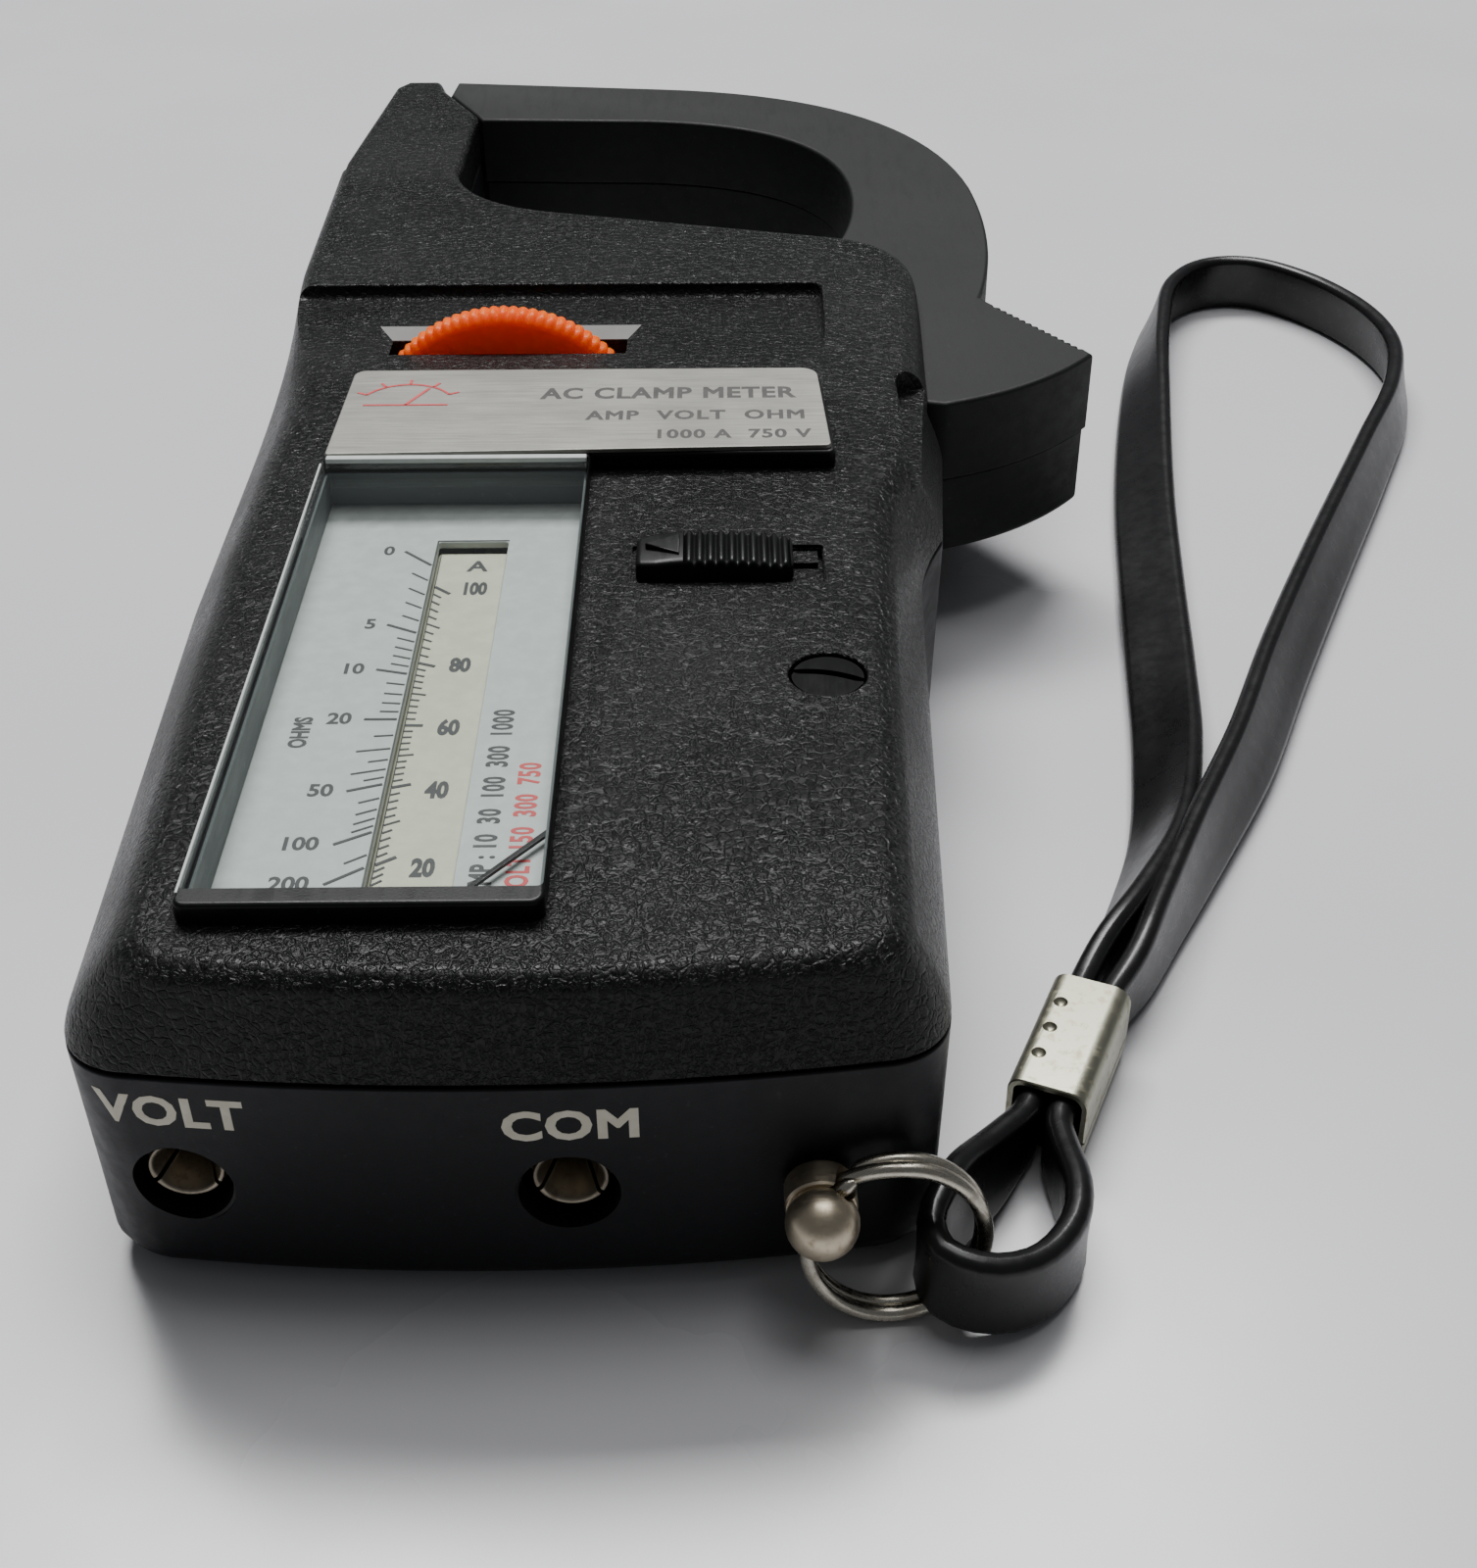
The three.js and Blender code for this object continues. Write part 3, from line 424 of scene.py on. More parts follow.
def maths(tree, operation, a, b=0.0):
    return node(tree, "ShaderNodeMath", {0: a, 1: b}, operation=operation).outputs[0]


def tint(tree, factor, first, second):
    """A colour between two as factor goes from 0 to 1."""
    made = node(tree, "ShaderNodeMix", {"Factor": factor}, data_type="RGBA")
    for socket, colour in ((made.inputs[6], first), (made.inputs[7], second)):
        if isinstance(colour, bpy.types.NodeSocket):
            tree.links.new(colour, socket)
        else:
            socket.default_value = (*colour, 1)
    return made.outputs[2]


def two_tone(tree, value, low, high, first, second):
    """A colour that goes from first to second as value goes from low to high."""
    return tint(tree, remap(tree, value, low, high, 0.0, 1.0), first, second)


def finish(tree, shader, base, rough):
    """Connects the colour and the roughness."""
    tree.links.new(base, shader.inputs["Base Color"])
    tree.links.new(rough, shader.inputs["Roughness"])


def bump(tree, shader, height, depth, strength=1.0, under=None):
    """Adds relief of that depth in millimetres and returns its normal output."""
    inputs = {"Height": height, "Distance": depth * MM, "Strength": strength}
    if under is not None:
        inputs["Normal"] = under
    out = node(tree, "ShaderNodeBump", inputs).outputs["Normal"]
    tree.links.new(out, shader.inputs["Normal"])
    return out


def stretch(tree, coords, x, y, z):
    return node(tree, "ShaderNodeVectorMath", {0: coords, 1: (x, y, z)}, operation="MULTIPLY").outputs[0]


def worn_edges(tree, inside, outside):
    """Near 1 on convex edges, from the mesh's own shape."""
    point = node(tree, "ShaderNodeNewGeometry").outputs["Pointiness"]
    return remap(tree, point, inside, outside, 0.0, 1.0)


# ---------------------------------------------------------------- materials
def leather_plastic():
    """Black moulded case plastic with a crinkled leather grain."""
    material, tree, shader, coords = start_material("leather_black", Specular_IOR_Level=0.22)
    wander = node(tree, "ShaderNodeTexNoise", {"Vector": coords, "Scale": 0.9, "Detail": 2.0})
    shift = node(tree, "ShaderNodeVectorMath", {0: wander.outputs["Color"], "Scale": 0.9}, operation="SCALE")
    bent = node(tree, "ShaderNodeVectorMath", {0: coords, 1: shift.outputs[0]}, operation="ADD").outputs[0]
    cells = node(tree, "ShaderNodeTexVoronoi", {"Vector": bent, "Scale": 1.05, "Randomness": 1.0},
                 feature="DISTANCE_TO_EDGE").outputs["Distance"]
    furrow = remap(tree, cells, 0.0, 0.16, 0.0, 1.0)
    worms = noise(tree, bent, 1.5, 3.0, 0.6, 1.2)
    ridge = maths(tree, "ABSOLUTE", maths(tree, "SUBTRACT", worms, 0.5))
    crease = remap(tree, ridge, 0.0, 0.06, 0.0, 1.0)
    height = maths(tree, "MULTIPLY", furrow, maths(tree, "ADD", maths(tree, "MULTIPLY", crease, 0.6), 0.4))
    fine = noise(tree, coords, 7.0, 3.0, 0.6)
    height = maths(tree, "ADD", height, maths(tree, "MULTIPLY", fine, 0.25))
    bump(tree, shader, height, 0.085)
    broad = noise(tree, coords, 0.035, 3.0, 0.55)
    dark = two_tone(tree, broad, 0.3, 0.7, (0.0042, 0.0046, 0.0044), (0.0066, 0.0072, 0.0066))
    pale = tint(tree, maths(tree, "MULTIPLY", worn_edges(tree, 0.52, 0.62), 0.4), dark, (0.018, 0.019, 0.018))
    shallow = maths(tree, "MULTIPLY", furrow, -0.06)
    finish(tree, shader, pale, maths(tree, "ADD", remap(tree, broad, 0.3, 0.7, 0.3, 0.42), shallow))
    return material


def smooth_plastic(name, first, second, rough_low, rough_high, dust=0.25, grain=0.012, shine=0.25):
    """Moulded plastic with a faint texture, soft handling marks and dust caught in places."""
    material, tree, shader, coords = start_material(name, Specular_IOR_Level=shine)
    broad = noise(tree, coords, 0.05, 4.0, 0.6)
    base = two_tone(tree, broad, 0.3, 0.7, first, second)
    specks = remap(tree, noise(tree, coords, 1.3, 2.0, 0.5), 0.68, 0.76, 0.0, dust)
    dusty = tint(tree, specks, base, tuple(min(1.0, c * 3 + 0.02) for c in second))
    worn = tint(tree, maths(tree, "MULTIPLY", worn_edges(tree, 0.53, 0.64), 0.3), dusty,
                tuple(min(1.0, c * 2.4 + 0.01) for c in second))
    streaks = noise(tree, stretch(tree, coords, 0.6, 0.12, 0.6), 1.0, 4.0, 0.7)
    finish(tree, shader, worn, remap(tree, streaks, 0.3, 0.7, rough_low, rough_high))
    bump(tree, shader, noise(tree, coords, 5.0, 3.0, 0.6), grain)
    return material


def metal(name, colour, second, rough, patina=0.3, scratch=(0.4, 6.0, 0.4)):
    """Plated metal with tarnish patches and fine handling scratches."""
    material, tree, shader, coords = start_material(name, Metallic=1.0)
    patches = noise(tree, coords, 0.9, 5.0, 0.65)
    spots = remap(tree, patches, 0.5, 0.68, 0.0, patina)
    lines = noise(tree, stretch(tree, coords, *scratch), 2.0, 5.0, 0.7)
    dull = maths(tree, "ADD", lines, maths(tree, "MULTIPLY", spots, 0.5))
    finish(tree, shader, tint(tree, spots, colour, second), remap(tree, dull, 0.3, 0.9, rough, rough + 0.25))
    bump(tree, shader, lines, 0.006)
    return material


def printed(name, colour, second, rough=0.55):
    """Ink or coated card: nearly flat colour with slight unevenness."""
    material, tree, shader, coords = start_material(name)
    uneven = noise(tree, coords, 0.6, 4.0, 0.6)
    finish(tree, shader, two_tone(tree, uneven, 0.35, 0.7, colour, second),
           remap(tree, uneven, 0.3, 0.7, rough - 0.06, rough + 0.08))
    bump(tree, shader, noise(tree, coords, 9.0, 2.0), 0.004)
    return material


def clear_plastic():
    """A clear window pane: it lets light straight through and mirrors a little of what is above it."""
    material, tree, shader, coords = start_material("clear_lens", Base_Color=(0.9, 0.93, 0.92, 1), IOR=1.49)
    scratches = noise(tree, stretch(tree, coords, 0.5, 5.0, 1.0), 1.0, 5.0, 0.75)
    haze = remap(tree, scratches, 0.35, 0.8, 0.02, 0.12)
    tree.links.new(haze, shader.inputs["Roughness"])
    facing = node(tree, "ShaderNodeLayerWeight", {"Blend": 0.5}).outputs["Facing"]
    veil = maths(tree, "ADD", maths(tree, "MULTIPLY", maths(tree, "POWER", facing, 4.0), 0.6), 0.03)
    through = node(tree, "ShaderNodeBsdfTransparent", {"Color": (0.97, 0.985, 0.98, 1)}).outputs[0]
    shine = node(tree, "ShaderNodeBsdfGlossy", {"Color": (1, 1, 1, 1), "Roughness": haze}).outputs[0]
    mixed = node(tree, "ShaderNodeMixShader", {"Fac": veil, 1: through, 2: shine}).outputs[0]
    tree.links.new(mixed, tree.nodes["Material Output"].inputs["Surface"])
    return material


def brushed_foil():
    """Silver foil with very fine level brushing."""
    material, tree, shader, coords = start_material("brushed_foil", Metallic=0.75)
    lines = noise(tree, stretch(tree, coords, 0.15, 14.0, 1.0), 1.0, 4.0, 0.7)
    cloud = noise(tree, coords, 0.12, 3.0)
    both = maths(tree, "ADD", maths(tree, "MULTIPLY", lines, 0.5), maths(tree, "MULTIPLY", cloud, 0.5))
    finish(tree, shader, two_tone(tree, both, 0.35, 0.65, (0.24, 0.237, 0.215), (0.31, 0.305, 0.28)),
           remap(tree, lines, 0.3, 0.7, 0.38, 0.52))
    bump(tree, shader, lines, 0.004)
    return material


def orange_plastic():
    """Bright orange moulding, a little paler where its ridges are worn."""
    material, tree, shader, coords = start_material("wheel_orange", Specular_IOR_Level=0.2,
                                                    Subsurface_Weight=0.85, Subsurface_Scale=0.006)
    uneven = noise(tree, coords, 0.7, 3.0)
    base = two_tone(tree, uneven, 0.3, 0.7, (0.92, 0.10, 0.0), (0.98, 0.13, 0.0))
    worn = tint(tree, maths(tree, "MULTIPLY", worn_edges(tree, 0.53, 0.62), 0.3), base, (1.0, 0.2, 0.004))
    finish(tree, shader, worn, remap(tree, uneven, 0.3, 0.7, 0.36, 0.5))
    bump(tree, shader, noise(tree, coords, 6.0, 3.0), 0.01)
    return material


def vinyl():
    """Glossy black vinyl with soft rub marks."""
    material, tree, shader, coords = start_material("black_vinyl", Specular_IOR_Level=0.4)
    broad = noise(tree, coords, 0.12, 4.0, 0.6)
    rub = noise(tree, coords, 0.5, 5.0, 0.7)
    finish(tree, shader, two_tone(tree, broad, 0.3, 0.7, (0.0045, 0.0045, 0.005), (0.0075, 0.0075, 0.008)),
           remap(tree, rub, 0.3, 0.72, 0.26, 0.33))
    bump(tree, shader, noise(tree, coords, 1.2, 4.0, 0.6), 0.012)
    return material


def table_top():
    """Pale, faintly glossy laminate."""
    material, tree, shader, coords = start_material("table_top", Specular_IOR_Level=0.5)
    cloud = noise(tree, coords, 0.004, 3.0)
    finish(tree, shader, tint(tree, cloud, (0.60, 0.60, 0.62), (0.66, 0.66, 0.675)),
           remap(tree, noise(tree, coords, 0.02, 4.0), 0.3, 0.7, 0.2, 0.3))
    return material


COVER = leather_plastic()
CASE = smooth_plastic("case_black", (0.0045, 0.0048, 0.0062), (0.007, 0.0074, 0.0095), 0.38, 0.5)
JAW = smooth_plastic("jaw_grey", (0.006, 0.0067, 0.0063), (0.0088, 0.0096, 0.0091), 0.5, 0.62, grain=0.02)
FRAME = smooth_plastic("frame_black", (0.0032, 0.0035, 0.0034), (0.005, 0.0054, 0.0052), 0.3, 0.42)
# Lighter grey for the strip on the black slot bevel: painted sheen standing in for the light its gloss
# reflects.
BEVEL_SHEEN = smooth_plastic("bevel_painted_sheen", (0.13, 0.13, 0.127), (0.19, 0.19, 0.185), 0.14, 0.24, grain=0.004,
                       shine=0.6)
SCREW_BLACK = smooth_plastic("screw_black", (0.004, 0.0043, 0.0042), (0.007, 0.0075, 0.0072), 0.6, 0.75,
                             shine=0.08)
WALL_GREY = smooth_plastic("wall_grey", (0.075, 0.088, 0.09), (0.095, 0.108, 0.11), 0.4, 0.55)
GLASS = clear_plastic()
FOIL = brushed_foil()
# The dial card's grey, also laid on two thin strips by the nameplate and frame as painted highlights.
CARD_AND_EDGE_GLINT = printed("dial_card", (0.46, 0.49, 0.47), (0.52, 0.55, 0.53))
IVORY = printed("ivory_paper", (0.53, 0.52, 0.39), (0.60, 0.59, 0.46))
ORANGE = orange_plastic()
STEEL = metal("bright_steel", (0.55, 0.54, 0.52), (0.30, 0.29, 0.27), 0.28)
NICKEL = metal("old_nickel", (0.62, 0.54, 0.41), (0.40, 0.32, 0.20), 0.3, 0.5)
# Nickel darkened for the jack sockets: painted shade and dark reflections of their recessed holes, with
# tarnish patches.
SHADED_NICKEL = metal("nickel_painted_shade", (0.42, 0.37, 0.29), (0.2, 0.16, 0.11), 0.3, 0.6)
RING_STEEL = metal("ring_steel", (0.60, 0.565, 0.48), (0.30, 0.24, 0.18), 0.2, 0.4)
CRIMP_METAL = metal("crimp_nickel", (0.40, 0.395, 0.31), (0.27, 0.25, 0.16), 0.28, 0.6)
BRASS = metal("yellow_brass", (0.62, 0.44, 0.16), (0.35, 0.22, 0.08), 0.3)
COPPER = metal("bright_copper", (0.55, 0.21, 0.08), (0.30, 0.10, 0.04), 0.35)
IRON = metal("grey_iron", (0.16, 0.155, 0.15), (0.09, 0.07, 0.06), 0.5)
BOARD = printed("board_brown", (0.20, 0.13, 0.035), (0.24, 0.16, 0.05))
CREAM = printed("cream_moulding", (0.64, 0.56, 0.38), (0.70, 0.62, 0.44))
VINYL = vinyl()
BLACK_INK = printed("black_ink", (0.02, 0.021, 0.022), (0.035, 0.036, 0.038))
GREY_INK = printed("grey_ink", (0.035, 0.033, 0.031), (0.055, 0.052, 0.048))
RED_INK = printed("red_ink", (0.55, 0.03, 0.035), (0.62, 0.06, 0.06))
LEGEND_INK = printed("legend_ink", (0.66, 0.62, 0.50), (0.74, 0.70, 0.58))


# ---------------------------------------------------------------- wrist strap
STRAP_WIDE = 8.4
STRAP_THICK = 2.4
STRAP_HELD = 6.6
STRAP_APART = 2.9


def in_crimp(along, side):
    """A place in the crimp: so far along it, on its left (-1) or right (+1) strand."""
    a = math.radians(CRIMP["heading"])
    off = side * STRAP_APART / 2
    return (CRIMP["x"] + along * math.cos(a) + off * math.sin(a),
            CRIMP["y"] + along * math.sin(a) - off * math.cos(a))


# The strap's places on the table with its roll in degrees: 0 stands on edge, 90 lies flat.
STRAP_ROUTE = [
    (*in_crimp(6.6, 1), 0), (*in_crimp(0, 1), 0), (*in_crimp(-1.5, 1), 0),
    (45.9, 3.4, 0), (46.2, -0.8, 0), (45.2, -5.2, 0), (41.8, -9.3, 0), (37.6, -10.7, 0), (34.2, -9.5, 0),
    (33.4, -6.6, 0), (35.3, -2.8, -8), (38.0, 1.4, -14), (40.9, 5.4, -8), (*in_crimp(-1.5, -1), 0),
    (*in_crimp(0, -1), 0), (*in_crimp(CRIMP["length"], -1), 0),
    (52.6, 30.2, 8), (57.0, 38.3, 22), (62.4, 50.5, 40), (66.2, 67.0, 58), (68.6, 84.0, 68),
    (71.0, 104.0, 70),
    (74.0, 127.0, 66), (78.4, 153.0, 52), (83.0, 175.0, 30), (88.4, 191.0, 10), (95.4, 198.4, 0),
    (103.0, 199.0, 0), (110.7, 192.5, 0), (116.6, 180.7, 4), (118.2, 168.0, 10), (115.0, 154.0, 18),
    (106.8, 135.6, 28), (92.9, 106.0, 36), (83.0, 84.2, 38), (74.9, 65.2, 34), (66.9, 49.4, 24),
    (60.8, 37.4, 12), (56.4, 28.8, 4), (*in_crimp(CRIMP["length"], 1), 0), (*in_crimp(8, 1), 0),
]


def catmull(points, t_step=0.125):
    """Points along a centripetal Catmull-Rom curve through the given ones, of any dimension."""
    ends = [tuple(2 * a - b for a, b in zip(points[0], points[1])), *points,
            tuple(2 * a - b for a, b in zip(points[-1], points[-2]))]
    out = []
    for p0, p1, p2, p3 in zip(ends, ends[1:], ends[2:], ends[3:]):
        knots = [0.0]
        for a, b in ((p0, p1), (p1, p2), (p2, p3)):
            knots.append(knots[-1] + max(1e-4, math.dist(a[:2], b[:2])) ** 0.5)
        t0, t1, t2, t3 = knots
        for k in range(int(1 / t_step)):
            t = mix(t1, t2, k * t_step)

            def between(a, b, ta, tb):
                return tuple(mix(u, v, (t - ta) / (tb - ta)) for u, v in zip(a, b))

            a1, a2, a3 = between(p0, p1, t0, t1), between(p1, p2, t1, t2), between(p2, p3, t2, t3)
            out.append(between(between(a1, a2, t0, t2), between(a2, a3, t1, t3), t1, t2))
    out.append(points[-1])
    return out


def even_spacing(points, step):
    """The same line with its points a step apart."""
    out, carried = [points[0]], 0.0
    for a, b in zip(points, points[1:]):
        gap = math.dist(a[:2], b[:2])
        while carried + gap >= step:
            share = (step - carried) / gap
            a = tuple(mix(u, v, share) for u, v in zip(a, b))
            out.append(a)
            gap = math.dist(a[:2], b[:2])
            carried = 0.0
        carried += gap
    if math.dist(out[-1][:2], points[-1][:2]) > step / 3:
        out.append(points[-1])
    return out


def strap_section(wide, thick, corner_steps=4):
    """Across the strap: a flat band with round edges and faces that are slightly hollow."""
    points = []
    r = thick * 0.46
    for cx, cy, first in ((wide / 2 - r, thick / 2 - r, 0), (-wide / 2 + r, thick / 2 - r, 90),
                          (-wide / 2 + r, -thick / 2 + r, 180), (wide / 2 - r, -thick / 2 + r, 270)):
        for k in range(corner_steps + 1):
            a = math.radians(first + 90 * k / corner_steps)
            points.append((cx + r * math.cos(a), cy + r * math.sin(a)))
        side = 1 if first == 0 else -1
        if first in (0, 180):
            for share in (0.25, 0.5, 0.75):
                dip = 0.12 * math.sin(share * math.pi)
                points.append((side * mix(wide / 2 - r, -wide / 2 + r, share), side * (thick / 2 - dip)))
    return points


def make_strap():
    line = even_spacing(catmull(STRAP_ROUTE), 1.5)
    centres, rings = [], []
    for i, (x, y, roll) in enumerate(line):
        ahead = Vector(line[min(i + 1, len(line) - 1)][:2]) - Vector(line[max(i - 1, 0)][:2])
        along = Vector((ahead.x, ahead.y, 0)).normalized()
        level = Vector((along.y, -along.x, 0))
        a = math.radians(roll)
        crimp_near = math.dist((x, y), in_crimp(CRIMP["length"] / 2, 0))
        held = 1 - smooth((crimp_near - 8) / 12)
        wide = mix(STRAP_WIDE, STRAP_HELD, held)
        lift = 1.5 * (1 - smooth((math.dist((x, y), (33.5, -5.5)) - 3) / 8))
        rest = abs(math.cos(a)) * wide / 2 + abs(math.sin(a)) * STRAP_THICK / 2
        centre = Vector((x, y, rest + lift + 0.05 + 0.55 * held))
        across = Vector((0, 0, 1)) * math.cos(a) + level * math.sin(a)
        out = along.cross(across)
        centres.append(centre)
        rings.append([tuple(centre + across * u + out * v) for u, v in strap_section(wide, STRAP_THICK)])
    strap = stack("wrist_strap_band", rings, VINYL)
    finish_surface(strap, 60)
    place(strap, "strap", "vinyl", "wrist_strap")


def make_crimp():
    """A sleeve of sheet metal folded round both strands, its seam low on the right side."""
    wall = 0.55
    half = 3.55 + 0.1
    low, high = 0.35, 8.05
    outer = rounded([(-half, low), (half, low), (half, high), (-half, high)], [1.0, 1.0, 1.7, 1.3], 6, 1.5)
    inner = inset(outer, wall)
    seam = min(range(len(outer)), key=lambda i: abs(outer[i][0] - half) + abs(outer[i][1] - 3.0))
    order = [(seam + k) % len(outer) for k in range(len(outer))]
    gap = 0.22
    wall_out = [outer[i] for i in order] + [(outer[seam][0], outer[seam][1] - gap)]
    wall_in = [inner[i] for i in order] + [(inner[seam][0], inner[seam][1] - gap)]
    centre = Vector((0, (low + high) / 2))
    rings = []
    for y, shrink in ((0.0, 0.12), (0.12, 0.0), (5.1, 0), (10.2, 0), (CRIMP["length"] - 0.12, 0.0),
                      (CRIMP["length"], 0.12)):
        outside = [p - (p - centre).normalized() * shrink for p in map(Vector, wall_out)]
        rings.append([(x, y, z) for x, z in outside + wall_in[::-1]])
    sleeve = stack("crimp_band", [r[::-1] for r in rings], CRIMP_METAL)
    for along in (4.0, 7.6, 11.2):
        dent = turned("dent", [(0.05, -0.6), (0.55, -0.35), (0.75, 0.0), (0.75, 0.6)], 20)
        combine(sleeve, moved(dent, Matrix.Translation((-half + 1.6, along, high + 0.12))))
    finish_surface(sleeve, 40)
    turn = Matrix.Rotation(math.radians(CRIMP["heading"] - 90), 4, "Z")
    moved(sleeve, Matrix.Translation((CRIMP["x"], CRIMP["y"], 0)) @ turn)
    place(sleeve, "strap", "nickel", "crimp_sleeve")


make_crimp()
make_strap()


# ---------------------------------------------------------------- strap ring and stud
def ring_frame():
    lean = Matrix.Rotation(math.radians(-RING["lean"]), 4, "X")
    yaw = Matrix.Rotation(math.radians(RING["yaw"]), 4, "Z")
    return Matrix.Translation((RING["x"], RING["y"], RING["z"])) @ yaw @ lean


def make_ring():
    """A split ring: one wire wound twice, with a short step where it changes lane."""
    wire, turns, steps = 0.66, 2.0, 150
    step_at, step_wide = 0.5, 0.05
    rings = []
    for k in range(steps + 1):
        t = k / steps
        angle = TAU * turns * t + math.radians(118)
        lane = mix(-wire, wire, smooth((t - step_at + step_wide) / (2 * step_wide)))
        centre = Vector((RING["r"] * math.cos(angle), lane, RING["r"] * math.sin(angle)))
        outward = Vector((math.cos(angle), 0, math.sin(angle)))
        r = wire * (0.55 if k in (0, steps) else 1.0)
        across = Vector((0, 1, 0))
        around = [TAU * j / 12 for j in range(12)]
        rings.append([tuple(centre + (outward * math.cos(b) + across * math.sin(b)) * r) for b in around])
    ring = stack("ring_wire", rings, RING_STEEL)
    finish_surface(ring, 60)
    moved(ring, ring_frame())
    place(ring, "strap", "nickel", "split_ring")


def ring_cutter(degrees, radius):
    sides = 48
    points, faces = [], []
    for k in range(sides):
        angle = TAU * k / sides
        outward = Vector((math.cos(angle), 0, math.sin(angle)))
        centre = outward * RING["r"]
        for j in range(10):
            b = TAU * j / 10
            across = Vector((0, math.sin(b) * radius, 0))
            points.append(tuple(centre + outward * math.cos(b) * radius * 0.68 + across))
            faces.append((k * 10 + j, k * 10 + (j + 1) % 10, (k + 1) % sides * 10 + (j + 1) % 10,
                          (k + 1) % sides * 10 + j))
    cutter = mesh_piece("ring_cutter", points, faces)
    about = Matrix.Translation((STUD["x"], STUD["hole"], 0))
    swing = about @ Matrix.Rotation(math.radians(degrees), 4, "Z") @ about.inverted()
    return moved(cutter, swing @ ring_frame())


def make_stud():
    """A turned barrel in the end wall with a ball on its nose, cross-drilled for the ring."""
    r = STUD["r"]
    profile = [(1.8, -6.7), (1.8, 0.2), (r - 0.25, 0.2), (r, 0.45), (r, 2.7), (r - 0.12, 2.9), (2.42, 2.98),
               (2.4, 3.06)]
    ball_centre = STUD["face"] - STUD["ball"]
    ball_r = r + 0.05
    for k in range(17):
        angle = math.radians(-25 + 115 * k / 16)
        profile.append((max(0.02, ball_r * math.cos(angle)), ball_centre + ball_r * math.sin(angle)))
    stud = turned("stud_barrel", profile, 56, NICKEL)
    nose_out = Matrix.Rotation(math.radians(90), 4, "X")
    moved(stud, Matrix.Translation((STUD["x"], STUD["face"], STUD["z"])) @ nose_out)
    for degrees in range(0, -25, -4):
        combine(stud, ring_cutter(degrees, 1.6))
    finish_surface(stud, 30)
    place(stud, "case", "nickel", "strap_stud")


make_ring()
make_stud()


# ---------------------------------------------------------------- case halves
BODY_PLAN = outline(
    (-37.9, 171), (-37, 125), (-36.9, 60), (-34.9, 3),
    ((-34.9, -3.6), (-29.5, -4.7)), ((0, -8.6), (30, -4.2)), ((34.9, -3.2), (35, 2.5)),
    (37.4, 55), (38, 66), ((38.4, 71), (41.2, 77.5)), (43.2, 100), (43.2, 129),
    ((42.8, 140.3), (34, 143)), (-5, 153), ((-19, 156.5), (-20.7, 171)), (-37.9, 171),
)
FINGER_PLAN = rounded(
    [(-37.9, 166), (-20.7, 166), (-20.4, 203), (-26.6, 215.6), (-27.9, 220.4), (-33.4, 220.4), (-35.1, 217.5),
     (-38, 182)],
    [0, 0, 0.8, 0.8, 1.0, 1.0, 1.6, 3.0], 4, 4.0,
)


def lean_in(x, y, z):
    """The cover's long sides lean in: strongly beside the dial, barely at the jaws."""
    up = min(1.0, max(0.0, (z - PART_Z) / (FACE_Z - PART_Z)))
    jaw_end = smooth((y - 90) / 45)
    side = mix(6.2, 1.2, jaw_end) if x < 0 else -mix(4.2, 1.6, jaw_end)
    reach = min(1.0, abs(x) / 35)
    near = 0.9 * up * smooth(-y / 3)
    return (x + side * up**1.4 * reach, y + near, z)


def draft(x, y, z):
    """The rear case narrows a little towards its back."""
    down = min(1.0, max(0.0, 1 - z / PART_Z))
    near = 1.1 * down * smooth(-y / 3)
    return (x * (1 - 0.012 * down), y + near, z)


LEVER_POCKET = outline(
    (39.5, 96.3), ((31.5, 96.0), (27.5, 99.5)), ((20.7, 105.5), (20.7, 114.5)), ((20.9, 128), (25.6, 137.5)),
    ((32.5, 149.5), (34.6, 160.5)), (60, 170), (90, 160), (90, 96.3),
)


def lever_pocket():
    """The space in the case that the jaw lever swings through."""
    return slab("lever_pocket", anticlockwise(LEVER_POCKET), JAW_LOW - 0.4, JAW_TOP + 0.4)


def flared_hole(name, plan, floor, top, rim, floor_round=0.0):
    """A cutter whose rim is rounded outwards at z top, and which goes on up above it."""
    levels = []
    for k in range(4 if floor_round else 1):
        rise, d = quarter(k, 3, floor_round)
        levels.append((floor + rise, d))
    for k in range(5):
        a = k / 4 * math.pi / 2
        levels.append((top - rim * (1 - math.sin(a)), -rim * (1 - math.cos(a))))
    levels.append((top + 0.6, -rim))
    levels.append((top + 4, -rim))
    return stack(name, [[(x, y, z) for x, y in inset(plan, d)] for z, d in levels])


def wheel_scoop():
    """The shallow ramp round the thumbwheel, deepest at its far wall and open on the left."""
    near, far, depth = 101.5, 126.6, 1.75

    def floor(y):
        return FACE_Z - depth * (y - 103.5) / (far - 103.5)

    plan = rounded([(-60, near), (29.8, near), (29.8, far), (-60, far)], [0, 0, 1.6, 0], 6, 3.0)
    rings = []
    foot = 1.15
    for k in range(5):
        a = k / 4 * math.pi / 2
        rise, d = foot * (1 - math.cos(a)), foot * (1 - math.sin(a))
        rings.append([(x, y, floor(y) + rise) for x, y in inset(plan, d)])
    rings.append([(x, y, max(floor(y) + foot + 0.05, FACE_Z - 0.3)) for x, y in plan])
    for k in range(1, 4):
        a = k / 3 * math.pi / 2
        rings.append([(x, y, max(floor(y) + foot + 0.05, FACE_Z - 0.3) + 0.3 * math.sin(a))
                      for x, y in inset(plan, -0.3 * (1 - math.cos(a)))])
    rings.append([(x, y, FACE_Z + 5) for x, y in inset(plan, -0.3)])
    return stack("wheel_scoop", rings)


